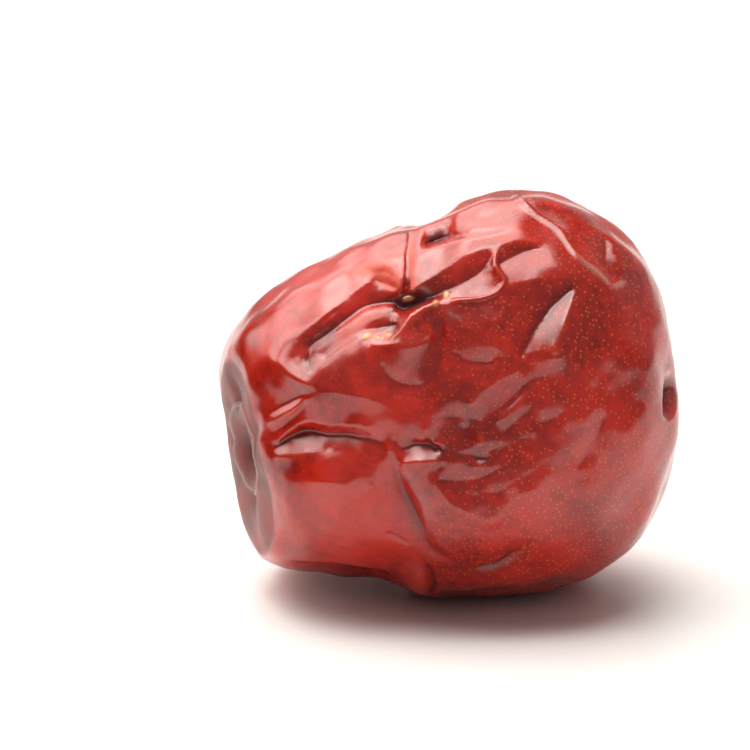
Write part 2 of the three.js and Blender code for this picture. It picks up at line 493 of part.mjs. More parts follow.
// The creases that run out of a pit
function pitCreases(pit) {
  const random = randomFrom(pit.seed);
  const within = ([low, high]) => low + (high - low) * random();
  const creases = [];
  for (let i = 0; i < pit.creases; i++) {
    const turn = ((i + 0.6 * random()) / pit.creases) * 2 * Math.PI;
    const bend = 0.5 * (random() - 0.5);
    const length = within(pit.creaseLength);
    const depth = within(pit.creaseDepth);
    const at = [0.9, 1.25, 1.6, 2.1].map((part, j) => {
      const from = pit.radius + ((part - 0.9) / 1.2) * length;
      return [
        pit.at[0] + from * Math.cos(turn + (bend * j) / 3),
        pit.at[1] + from * Math.sin(turn + (bend * j) / 3),
      ];
    });
    creases.push({ at, edge: 0.3, left: [-depth, 1.3], right: [-depth, 1.3], fade: [0.1, 0.6] });
  }
  return creases;
}

// The net of cells

// A place, with the fruit's length shortened so that round cells come out long
function shorten(p) {
  return p.clone().addScaledVector(STEM_AXIS, p.dot(STEM_AXIS) * (1 / NET.stretch - 1));
}

function netCentres() {
  const random = randomFrom(NET.seed);
  const goldenTurn = Math.PI * (3 - Math.sqrt(5));
  const centres = [];
  for (let i = 0; i < NET.cells; i++) {
    const up = 1 - (2 * (i + 0.2 + 0.6 * random())) / NET.cells;
    const turn = goldenTurn * (i + 0.9 * random());
    const flat = Math.sqrt(1 - up * up);
    const d = new THREE.Vector3(up, flat * Math.cos(turn), flat * Math.sin(turn));
    centres.push(shorten(d.multiplyScalar(bodyReach(d))));
  }
  return centres;
}

// Between two cells the skin is pinched up or sunk, by turns, and inside a cell it sags.
function netLift(p, centres, patch) {
  const place = shorten(p);
  const [nearest, second] = centres.map((c) => c.distanceTo(place)).sort((a, b) => a - b);
  const fromBorder = Math.hypot((second - nearest) / 2, 0.25) - 0.25;
  const border = Math.max(0, 1 - fromBorder / NET.wide) ** 2;
  return NET.crest * border * (0.35 + patch(p)) - NET.sag * (1 - border);
}

// The skin

const allPads = PADS.map(layPad);
const allPits = PITS.map(layPit);
const allFolds = [
  ...FRONT_FOLDS.map((fold) => layFold(fold, "front")),
  ...UNDER_FOLDS.map((fold) => layFold(fold, "under")),
  ...TOP_FOLDS.map((fold) => layFold(fold, "top")),
  ...PITS.flatMap((pit) => pitCreases(pit).map((crease) => layFold(crease, pit.side))),
];
const cellCentres = netCentres();
const netPatch = makeRipple(NET.seed, NET.patch);
const crumple = makeRipple(CRUMPLE.seed, CRUMPLE.size);
const film = stretchFilm();

// The skin's place in a direction on the page
function skinPlace(d) {
  const body = d.clone().multiplyScalar(bodyReach(d));
  const netShare = smooth((NET_FACING[1] - d.z) / (NET_FACING[1] - NET_FACING[0]))
    * smooth((NET_ENDS[1] - Math.abs(d.dot(STEM_AXIS))) / (NET_ENDS[1] - NET_ENDS[0]));
  let lift = CRUMPLE.lift * crumple(body);
  if (netShare > 0) lift += netShare * netLift(body, cellCentres, netPatch);
  for (const fold of allFolds) lift += foldLift(fold, body);
  for (const pad of allPads) lift += padLift(pad, body);
  for (const pit of allPits) lift += pitLift(pit, body);
  const out = filmLift(film, body);
  body.addScaledVector(d, lift);
  body.z += out;
  return body;
}

// From the page to the table, flattened where the fruit's weight presses on it
function fromPage(p) {
  const off = new THREE.Vector3()
    .addScaledVector(PAGE_RIGHT, p.x)
    .addScaledVector(PAGE_UP, p.y)
    .addScaledVector(PAGE_OUT, p.z);
  if (off.z < -REST_HEIGHT) off.multiplyScalar(-REST_HEIGHT / off.z);
  off.z += REST_HEIGHT;
  return off;
}

// A direction turned towards the best side, so that the cuts are closer together there
function crowded(d) {
  const turn = Math.acos(THREE.MathUtils.clamp(d.z, -1, 1));
  const turned = turn - CROWD * Math.sin(turn);
  const flat = Math.max(Math.hypot(d.x, d.y), 1e-9);
  const out = Math.sin(turned) / flat;
  return new THREE.Vector3(d.x * out, d.y * out, Math.cos(turned));
}

function jujubeGeometry() {
  const ball = new THREE.IcosahedronGeometry(1, DIVISIONS);
  ball.deleteAttribute("normal");
  ball.deleteAttribute("uv");
  const skin = mergeVertices(ball, 1e-5);
  const position = skin.getAttribute("position");
  const d = new THREE.Vector3();
  for (let i = 0; i < position.count; i++) {
    d.fromBufferAttribute(position, i).normalize();
    position.setXYZ(i, ...fromPage(skinPlace(crowded(d))));
  }
  skin.computeVertexNormals();
  return skin;
}

const skinMaterial = new THREE.MeshStandardMaterial({
  color: 0x8f1c17,
  roughness: 0.3,
  metalness: 0,
});
const jujube = new THREE.Mesh(jujubeGeometry(), skinMaterial);
jujube.name = "dried_jujube";

const part = new THREE.Group();
part.add(jujube);

export default part;
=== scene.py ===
"""A dried jujube lying on a pale table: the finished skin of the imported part, its light and its camera.

The fruit is one piece. Its skin has dried onto shrunken flesh, and stands in broad smooth panels
between pinched ridges and sunk furrows. It is drawn as on a page held square to its best side:
U is to the right on that page, V is up and W comes out of it, in millimetres from the fruit's middle.
On the best side the skin is stretched over strings that hold it up or down. The finer folds, and those
of the other sides, are paths on one side of the fruit, and are laid onto the body from there.
"""

import logging
import math
from dataclasses import dataclass, field
from enum import Enum
from typing import Any

import bpy
import numpy as np
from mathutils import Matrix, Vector


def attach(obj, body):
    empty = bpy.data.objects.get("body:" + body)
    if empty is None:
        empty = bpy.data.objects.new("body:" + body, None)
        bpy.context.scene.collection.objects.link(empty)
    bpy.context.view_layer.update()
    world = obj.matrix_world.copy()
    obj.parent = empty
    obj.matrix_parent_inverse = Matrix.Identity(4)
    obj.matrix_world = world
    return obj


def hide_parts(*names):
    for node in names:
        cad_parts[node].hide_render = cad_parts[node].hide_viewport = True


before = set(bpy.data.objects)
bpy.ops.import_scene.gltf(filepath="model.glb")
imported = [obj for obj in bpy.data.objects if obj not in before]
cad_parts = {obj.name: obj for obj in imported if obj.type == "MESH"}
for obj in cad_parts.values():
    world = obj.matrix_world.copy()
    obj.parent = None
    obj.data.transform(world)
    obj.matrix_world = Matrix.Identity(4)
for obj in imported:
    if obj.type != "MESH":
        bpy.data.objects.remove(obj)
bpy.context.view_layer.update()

log = logging.getLogger("jujube")
Array = np.ndarray
Place = tuple[float, float]
Span = tuple[float, float, float, float]

MM = 0.001
TINY = 1e-9

# The page: how far it is turned to the stem end about the vertical, and how far it leans back
PAGE_TURN = math.radians(-15.5)
PAGE_LEAN = math.radians(15)
PAGE_RIGHT = np.array([math.cos(PAGE_TURN), math.sin(PAGE_TURN), 0.0])
PAGE_OUT = np.array(
    [
        math.sin(PAGE_TURN) * math.cos(PAGE_LEAN),
        -math.cos(PAGE_TURN) * math.cos(PAGE_LEAN),
        math.sin(PAGE_LEAN),
    ]
)
PAGE_UP = np.cross(PAGE_OUT, PAGE_RIGHT)

# From the table to the page's middle
REST_HEIGHT = 15.7

# The way that the stem end faces, on the page
STEM_AXIS = np.array([-0.967, -0.188, 0.235])
STEM_AXIS /= np.linalg.norm(STEM_AXIS)


class Side(Enum):
    """The sides that folds are drawn on: which way each faces, and which way is up on it."""

    FRONT = ((0, 0, 1), (0, 1, 0))
    UNDER = ((0, -1, 0), (0, 0, 1))
    TOP = ((0, 1, 0), (0, 0, -1))
    STEM = (tuple(STEM_AXIS), (0, 1, 0))
    STYLE = (tuple(-STEM_AXIS), (0, 1, 0))

    def axes(self) -> tuple[Array, Array, Array]:
        """Works out how the side lies on the page.

        Returns:
            The side's right, up and out directions.
        """
        out = np.array(self.value[0], float)
        up = np.array(self.value[1], float)
        up = up - out * (up @ out)
        up /= np.linalg.norm(up)
        return np.cross(up, out), up, out


class Look(Enum):
    """What shows in places where the skin isn't plain, by the name of its attribute on the mesh.

    Torn skin is raw and paler. The cap is the dull face around the stem. Painted shade is a dark colour
    laid at the bottom of a hollow, where shade falls, a crumb is a pale bit of dry flesh, and a scar is a
    pale corky line.
    """

    TORN = "torn"
    CAP = "cap"
    # painted shade: a dark colour laid at the bottom of hollows and of the stem's pit
    PITH = "pith"
    CRUMB = "crumb"
    SCAR = "scar"


def smooth(share: Array) -> Array:
    """Turns a share of the way into an eased one, held between 0 and 1."""
    share = np.clip(share, 0.0, 1.0)
    return share * share * (3 - 2 * share)


def lengths(vectors: Array) -> Array:
    """Returns the length of each vector in a row of them."""
    return np.sqrt((vectors * vectors).sum(axis=-1))


class Chance:
    """Random numbers from 0 to 1 that come out the same every time."""

    factor: int = 16807
    limit: int = 2147483647

    def __init__(self, seed: int) -> None:
        """Starts from a seed, a small whole number."""
        self.state = seed * self.factor

    def draw(self) -> float:
        """Returns the next number."""
        self.state = (self.state * self.factor) % self.limit
        return self.state / self.limit


@dataclass(frozen=True)
class Ripple:
    """A smooth random unevenness: waves that run every way.

    Each wave's length is size times a random share, from shortest to shortest plus spread.
    """

    seed: int
    size: float
    waves: int = 7
    shortest: float = 0.7
    spread: float = 0.8
    height: float = 0.45

    def at(self, places: Array) -> Array:
        """Adds up the waves.

        Args:
            places: One place a row, in millimetres.

        Returns:
            Values from about -1 to 1 at the places.
        """
        chance = Chance(self.seed)
        total = np.zeros(len(places))
        for _ in range(self.waves):
            up = 2 * chance.draw() - 1
            turn = 2 * math.pi * chance.draw()
            pitch = 2 * math.pi / (self.size * (self.shortest + self.spread * chance.draw()))
            flat = math.sqrt(1 - up * up)
            way = np.array([flat * math.cos(turn), flat * math.sin(turn), up]) * pitch
            total += np.sin(places @ way + 2 * math.pi * chance.draw())
        return total * self.height


@dataclass(frozen=True)
class BluntEnd:
    """An end of the fruit that is blunter than the outline's own curve.

    It faces the way out, its flat is reach away from the middle, and it is rounded over blend.
    """

    out: tuple[float, ...]
    reach: float
    blend: float


@dataclass(frozen=True)
class FruitBody:
    """The fruit without its folds: a pillow with a drawn outline and two blunt ends.

    An end shapes only what faces it by a cosine of least_facing or more. The place that a side shows
    is looked for between the page's middle and far out of it, by halving the way halvings times.
    """

    half_depth: float = 16.0
    fullness: float = 2.2
    outline: tuple[Place, ...] = (
        (18.3, 0.5), (18.2, 3.4), (17.7, 6.2), (16.3, 10.0), (13.4, 13.2), (9.8, 15.5), (5.6, 16.3),
        (2.0, 15.8), (-0.6, 14.5), (-3.0, 13.6), (-6.0, 12.7), (-10.0, 10.8), (-14.2, 8.4), (-17.4, 5.0),
        (-18.5, 1.0), (-17.9, -4.4), (-16.8, -9.6), (-14.9, -13.2), (-9.6, -14.2), (-5.4, -14.7),
        (-2.4, -16.0), (2.4, -16.1), (7.4, -15.6), (11.8, -14.1), (15.4, -11.1), (17.4, -7.0), (18.3, -3.2),
    )
    ends: tuple[BluntEnd, ...] = (
        BluntEnd(tuple(STEM_AXIS), 17.4, 0.6),
        BluntEnd(tuple(-STEM_AXIS), 18.3, 3.0),
    )
    least_facing: float = 0.1
    far: float = 30.0
    halvings: int = 30

    def outline_reach(self, angle: Array) -> Array:
        """Follows the outline as a smooth closed curve.

        Args:
            angle: Angles about the page's middle, in radians.

        Returns:
            The outline's distance from the middle at each angle.
        """
        u, v = np.array(self.outline).T
        order = np.argsort(np.arctan2(v, u))
        angles = np.arctan2(v, u)[order]
        reaches = np.hypot(u, v)[order]
        n = len(angles)
        last = np.searchsorted(angles, angle, side="right") - 1

        def point(i: Array) -> tuple[Array, Array]:
            """Returns the angles and reaches of points, by their number round the outline."""
            return angles[i % n] + 2 * math.pi * (i // n), reaches[i % n]

        (a0, r0), (a1, r1), (a2, r2), (a3, r3) = (point(last + k) for k in (-1, 0, 1, 2))
        span = a2 - a1
        t = (angle - a1) / span
        leave = (r2 - r0) / (a2 - a0) * span
        arrive = (r3 - r1) / (a3 - a1) * span
        return (
            r1 * (2 * t**3 - 3 * t**2 + 1)
            + leave * (t**3 - 2 * t**2 + t)
            + r2 * (3 * t**2 - 2 * t**3)
            + arrive * (t**3 - t**2)
        )

    def reach(self, ways: Array) -> Array:
        """Measures the body from its middle.

        Args:
            ways: Directions on the page, one a row and each of length 1.

        Returns:
            How far the body reaches in each direction.
        """
        u, v, w = ways.T
        across = np.hypot(u, v) / self.outline_reach(np.arctan2(v, u))
        deep = np.abs(w) / self.half_depth
        reach = (across**self.fullness + deep**self.fullness) ** (-1 / self.fullness)
        for end in self.ends:
            facing = ways @ np.array(end.out)
            flat = end.reach / np.maximum(facing, self.least_facing)
            share = np.clip(0.5 + 0.5 * (flat - reach) / end.blend, 0, 1)
            blunt = flat + (reach - flat) * share - end.blend * share * (1 - share)
            reach = np.where(facing > self.least_facing, blunt, reach)
        return reach

    def place_on(self, side: Side, spots: Array) -> Array:
        """Finds the places on the body that a side shows at its [right, up] spots.

        Args:
            side: The side that the spots are drawn on.
            spots: One spot a row, in millimetres from the side's middle.

        Returns:
            One place a row, or the side's edge where the spot is off the body.
        """
        right, up, out = side.axes()
        flat = spots[:, :1] * right + spots[:, 1:] * up
        low = np.zeros(len(spots))
        high = np.full(len(spots), self.far)
        for _ in range(self.halvings):
            middle = (low + high) / 2
            at = flat + middle[:, None] * out
            away = lengths(at)
            outside = away > self.reach(at / away[:, None])
            high = np.where(outside, middle, high)
            low = np.where(outside, low, middle)
        ways = at / lengths(at)[:, None]
        return ways * self.reach(ways)[:, None]


@dataclass(frozen=True)
class Fold:
    """A ridge, furrow or step that runs along a path on one side of the fruit.

    left and right are for the two hands of the path: how much the skin lifts at the path and how
    far away that has died out. edge is how far the skin takes to turn from one hand to the other,
    and fade is the share of the path over which the fold dies out at its start and at its end.
    steps is how many straight stretches the path has from one drawn point to the next.
    """

    name: str
    at: tuple[Place, ...]
    left: Place
    right: Place
    edge: float
    fade: Place
    side: Side = Side.FRONT
    steps: int = 4

    def laid(self, body: FruitBody) -> Array:
        """Lays the path onto the body.

        Args:
            body: The unfolded body.

        Returns:
            A smooth run of places on it, one a row.
        """
        drawn = np.array(self.at)
        ends = np.vstack([2 * drawn[0] - drawn[1], drawn, 2 * drawn[-1] - drawn[-2]])
        t = np.arange(self.steps)[:, None] / self.steps
        spots = []
        for i in range(len(drawn) - 1):
            a, b, c, d = ends[i : i + 4]
            bent = (2 * a - 5 * b + 4 * c - d) * t**2 + (3 * b - a - 3 * c + d) * t**3
            spots.append(0.5 * (2 * b + (c - a) * t + bent))
        return body.place_on(self.side, np.vstack([*spots, drawn[-1:]]))

    def lift(self, body: FruitBody, places: Array) -> Array:
        """Folds the skin along the path.

        Args:
            body: The unfolded body.
            places: Places on it, one a row.

        Returns:
            How much the fold lifts the skin at each place.
        """
        path = self.laid(body)
        stretches = np.diff(path, axis=0)
        spans = lengths(stretches)
        run = np.concatenate([[0.0], np.cumsum(spans)])
        # only places in a ball around the path can be lifted
        widest = max(self.left[1], self.right[1]) + 2 * self.edge
        middle = (path.min(axis=0) + path.max(axis=0)) / 2
        near = lengths(places - middle) < lengths(path - middle).max() + widest
        p = places[near]
        # how far each is from the nearest stretch, how far along the path that is, and on which hand
        away = np.full(len(p), np.inf)
        along = np.zeros(len(p))
        on_left = np.zeros(len(p), bool)
        for start, stretch, span, so_far in zip(path, stretches, spans, run):
            off = p - start
            share = np.clip(off @ stretch / span**2, 0, 1)
            off = off - share[:, None] * stretch
            from_here = lengths(off)
            closer = from_here < away
            hand = (np.cross(stretch, off) * p).sum(axis=1) > 0
            away = np.where(closer, from_here, away)
            along = np.where(closer, so_far + share * span, along)
            on_left = np.where(closer, hand, on_left)
        rounded = np.hypot(away, self.edge) - self.edge
        left, right = (
            lift * np.maximum(0, 1 - rounded / wide) ** 2 for lift, wide in (self.left, self.right)
        )
        to_left = smooth(0.5 + np.where(on_left, 0.5, -0.5) * away / self.edge)
        fades = smooth(along / (self.fade[0] * run[-1])) * smooth(
            (run[-1] - along) / (self.fade[1] * run[-1])
        )
        result = np.zeros(len(places))
        result[near] = (right + (left - right) * to_left) * fades
        return result


@dataclass(frozen=True)
class Pad:
    """A broad swelling or hollow: its middle, two half-widths, turn in degrees and lift."""

    name: str
    at: Place
    size: Place
    turn: float
    amount: float
    side: Side = Side.FRONT

    def cover(self, body: FruitBody, places: Array) -> Array:
        """Spreads the pad over its own side of the body.

        Args:
            body: The unfolded body.
            places: Places on it, one a row.

        Returns:
            How much of the pad is at each place: 1 in its middle and 0 outside it.
        """
        right, up, out = self.side.axes()
        turn = math.radians(self.turn)
        along = right * math.cos(turn) + up * math.sin(turn)
        across = up * math.cos(turn) - right * math.sin(turn)
        half_thickness = 2 * max(self.size)
        off = places - body.place_on(self.side, np.array([self.at]))
        q = (
            (off @ along / self.size[0]) ** 2
            + (off @ across / self.size[1]) ** 2
            + (off @ out / half_thickness) ** 2
        )
        return np.maximum(0, 1 - q) ** 2

    def lift(self, body: FruitBody, places: Array) -> Array:
        """Returns how much the pad lifts the skin at places on the body."""
        return self.amount * self.cover(body, places)


@dataclass(frozen=True)
class Mark:
    """A small place where the skin isn't plain: what shows there, how much of it, and its pad."""

    shows: Look
    share: float
    pad: Pad

    def cover(self, body: FruitBody, places: Array) -> Array:
        """Returns how much of the mark shows at places: its share, but for the pad's outer half."""
        return self.share * np.minimum(1, 2 * self.pad.cover(body, places))


@dataclass(frozen=True)
class Pit:
    """A sunk place at an end of the fruit, with a raised rim and creases that run out of it.

    rim is how much it lifts and how wide it is. wall, crest and limit are shares of the radius: the
    width of the sloping wall, where the rim's crest is, and how far from the middle both may reach.
    stops are the shares of a crease's length where its points are. A crease starts up to shift of
    the way to the next one, and bends by up to half of bend, in radians, to either hand.
    """

    name: str
    side: Side
    at: Place
    radius: float
    depth: float
    rim: Place
    creases: int
    crease_length: Place
    crease_depth: Place
    seed: int
    wall: float = 0.75
    crest: float = 1.1
    limit: float = 3.0
    stops: Span = (0.0, 7 / 24, 14 / 24, 1.0)
    shift: float = 0.6
    bend: float = 0.5
    crease_width: float = 1.3
    crease_edge: float = 0.3
    crease_fade: Place = (0.1, 0.6)

    def away(self, body: FruitBody, places: Array) -> tuple[Array, Array]:
        """Measures from the pit's middle.

        Args:
            body: The unfolded body.
            places: Places on it, one a row.

        Returns:
            How far off each place is, and how far off it looks when the pit is seen straight on.
        """
        out = self.side.axes()[2]
        off = places - body.place_on(self.side, np.array([self.at]))
        return lengths(off), lengths(off - (off @ out)[:, None] * out)

    def lift(self, body: FruitBody, places: Array) -> Array:
        """Sinks the pit and raises its rim.

        Args:
            body: The unfolded body.
            places: Places on it, one a row.

        Returns:
            How much the pit and its rim lift the skin at each place.
        """
        straight, sideways = self.away(body, places)
        near = (straight < self.limit * self.radius) & (places @ self.side.axes()[2] > 0)
        bowl = -self.depth * smooth((self.radius - sideways) / (self.wall * self.radius))
        lift, wide = self.rim
        rim = lift * np.maximum(0, 1 - np.abs(sideways - self.crest * self.radius) / wide) ** 2
        return np.where(near, bowl + rim, 0.0)

    def folds(self) -> list[Fold]:
        """Draws the creases that run out of the pit, even but for a random shift.

        Returns:
            One fold for each crease.
        """
        chance = Chance(self.seed)

        def within(span: Place) -> float:
            """Returns a random size within a span of them."""
            return span[0] + (span[1] - span[0]) * chance.draw()

        creases = []
        for i in range(self.creases):
            turn = (i + self.shift * chance.draw()) / self.creases * 2 * math.pi
            bend = self.bend * (chance.draw() - 0.5)
            length = within(self.crease_length)
            side = (-within(self.crease_depth), self.crease_width)
            path = []
            for j, stop in enumerate(self.stops):
                out = self.radius + stop * length
                way = turn + bend * j / (len(self.stops) - 1)
                path.append((self.at[0] + out * math.cos(way), self.at[1] + out * math.sin(way)))
            name = f"crease {i + 1} of the {self.name}"
            creases.append(
                Fold(name, tuple(path), side, side, self.crease_edge, self.crease_fade, self.side)
            )
        return creases


@dataclass(frozen=True)
class CellNet:
    """Away from the best side, folds follow a net of cells that are longer than they are wide.

    Cells are spread evenly but for two random shifts, along and around the fruit, in cells. The skin
    rises by crest on their borders, which are wide and have a rounded edge, and sags by sag between
    them. A border has the share plain of its crest, and more or less of it from patch to patch.
    facing is how far to the front the net fades in, and ends how far to the two ends it fades out.
    """

    cells: int = 64
    seed: int = 7
    shift_along: float = 0.6
    shift_around: float = 0.9
    stretch: float = 1.7
    crest: float = 1.15
    wide: float = 2.6
    edge: float = 0.25
    plain: float = 0.35
    sag: float = 0.5
    patch: float = 11.0
    facing: Place = (-0.45, 0.05)
    ends: Place = (0.72, 0.92)

    def shorten(self, places: Array) -> Array:
        """Shortens the fruit's length, so that round cells come out long."""
        along = places @ STEM_AXIS
        return places + (along * (1 / self.stretch - 1))[:, None] * STEM_AXIS

    def centres(self, body: FruitBody) -> Array:
        """Spreads the cells.

        Args:
            body: The unfolded body.

        Returns:
            The cells' middles on the shortened body, one a row.
        """
        chance = Chance(self.seed)
        golden = math.pi * (3 - math.sqrt(5))
        ways = []
        for i in range(self.cells):
            along = i + 0.5 + self.shift_along * (chance.draw() - 0.5)
            up = 1 - 2 * along / self.cells
            turn = golden * (i + self.shift_around * chance.draw())
            flat = math.sqrt(1 - up * up)
            ways.append((up, flat * math.cos(turn), flat * math.sin(turn)))
        return self.shorten(np.array(ways) * body.reach(np.array(ways))[:, None])

    def lift(self, body: FruitBody, places: Array) -> Array:
        """Folds the skin along the cells' borders.

        Args:
            body: The unfolded body.
            places: Places on it, one a row.

        Returns:
            How much the net lifts the skin at each place.
        """
        ways = places / lengths(places)[:, None]
        share = smooth((self.facing[1] - ways[:, 2]) / (self.facing[1] - self.facing[0]))
        share *= smooth((self.ends[1] - np.abs(ways @ STEM_AXIS)) / (self.ends[1] - self.ends[0]))
        near = share > 0
        place = self.shorten(places[near])
        away = np.full((2, len(place)), np.inf)
        for centre in self.centres(body):
            here = lengths(place - centre)
            away[1] = np.minimum(away[1], np.maximum(here, away[0]))
            away[0] = np.minimum(away[0], here)
        from_border = np.hypot((away[1] - away[0]) / 2, self.edge) - self.edge
        border = np.maximum(0, 1 - from_border / self.wide) ** 2
        patch = Ripple(self.seed, self.patch).at(places[near])
        result = np.zeros(len(places))
        result[near] = self.crest * border * (self.plain + patch) - self.sag * (1 - border)
        return result * share


@dataclass(frozen=True)
class StretchedSkin:
    """The best side's relief: skin stretched over strings that hold it up or down.

    Each string is a run of (U, V, height) points, and its heights are from the unfolded body. Between
    the strings the skin hangs as a stretched film does, so it makes flat panels that meet at them.
    The film is worked out on square cells, first coarse and then finer. levels are the cells' sizes,
    in the finest ones, and each level takes as many rounds. A string's points are step apart, in the
    finest cells. Away from strings the film sinks back over slack, and it ends depth behind the page.
    """

    strings: tuple[tuple[tuple[float, float, float], ...], ...]
    half_size: Place = (20.4, 18.0)
    mesh_size: float = 0.15
    step: float = 0.3
    slack: float = 7.0
    depth: float = 4.0
    levels: tuple[int, ...] = (8, 4, 2, 1)
    rounds: int = 160

    def held(self, cell: float, shape: tuple[int, int]) -> tuple[Array, Array]:
        """Lays the strings on a grid.

        Args:
            cell: The size of the grid's square cells.
            shape: How many rows and columns it has.

        Returns:
            The height that the strings hold in each cell, and whether they hold one there.
        """
        total = np.zeros(shape)
        count = np.zeros(shape)
        for string in self.strings:
            drawn = np.array(string)
            for a, b in zip(drawn[:-1], drawn[1:]):
                steps = max(2, int(math.dist(a[:2], b[:2]) / (self.step * self.mesh_size)))
                points = a + (b - a) * (np.arange(steps + 1) / steps)[:, None]
                column = np.round((points[:, 0] + self.half_size[0]) / cell).astype(int)
                row = np.round((points[:, 1] + self.half_size[1]) / cell).astype(int)
                np.add.at(total, (row, column), points[:, 2])
                np.add.at(count, (row, column), 1.0)
        fixed = count > 0
        return np.where(fixed, total / np.maximum(count, 1), 0.0), fixed

    def film(self) -> Array:
        """Stretches the film over the strings.

        Returns:
            The film's heights, a row of the finest grid for each V.
        """
        film = None
        for level in self.levels:
            cell = self.mesh_size * level
            shape = tuple(int(2 * half / cell) + 1 for half in reversed(self.half_size))
            held, fixed = self.held(cell, shape)
            if film is None:
                film = np.zeros(shape)
            else:
                rows = np.minimum(np.arange(shape[0]) // 2, film.shape[0] - 1)
                columns = np.minimum(np.arange(shape[1]) // 2, film.shape[1] - 1)
                film = film[np.ix_(rows, columns)]
            pull = (cell / self.slack) ** 2
            for _ in range(self.rounds):
                wide = np.pad(film, 1, mode="edge")
                around = wide[:-2, 1:-1] + wide[2:, 1:-1] + wide[1:-1, :-2] + wide[1:-1, 2:]
                film = np.where(fixed, held, around / (4 + pull))
        return film

    def lift(self, places: Array) -> Array:
        """Lays the film on the body, as a cubic spline over the four cells each way around a place.

        Args:
            places: Places on the unfolded body, one a row.

        Returns:
            How much the film lifts the skin out of the page at each place.
        """
        film = self.film()
        along = (places[:, :2] + np.array(self.half_size)) / self.mesh_size
        corner = np.clip(np.floor(along).astype(int), 1, np.array(film.shape[::-1]) - 3)
        t = along - corner
        weights = np.stack(
            [(1 - t) ** 3, 3 * t**3 - 6 * t**2 + 4, -3 * t**3 + 3 * t**2 + 3 * t + 1, t**3]
        ) / 6
        total = np.zeros(len(places))
        for i in range(4):
            for j in range(4):
                here = film[corner[:, 1] + j - 1, corner[:, 0] + i - 1]
                total += weights[i, :, 0] * weights[j, :, 1] * here
        return total * smooth(1 + places[:, 2] / self.depth)


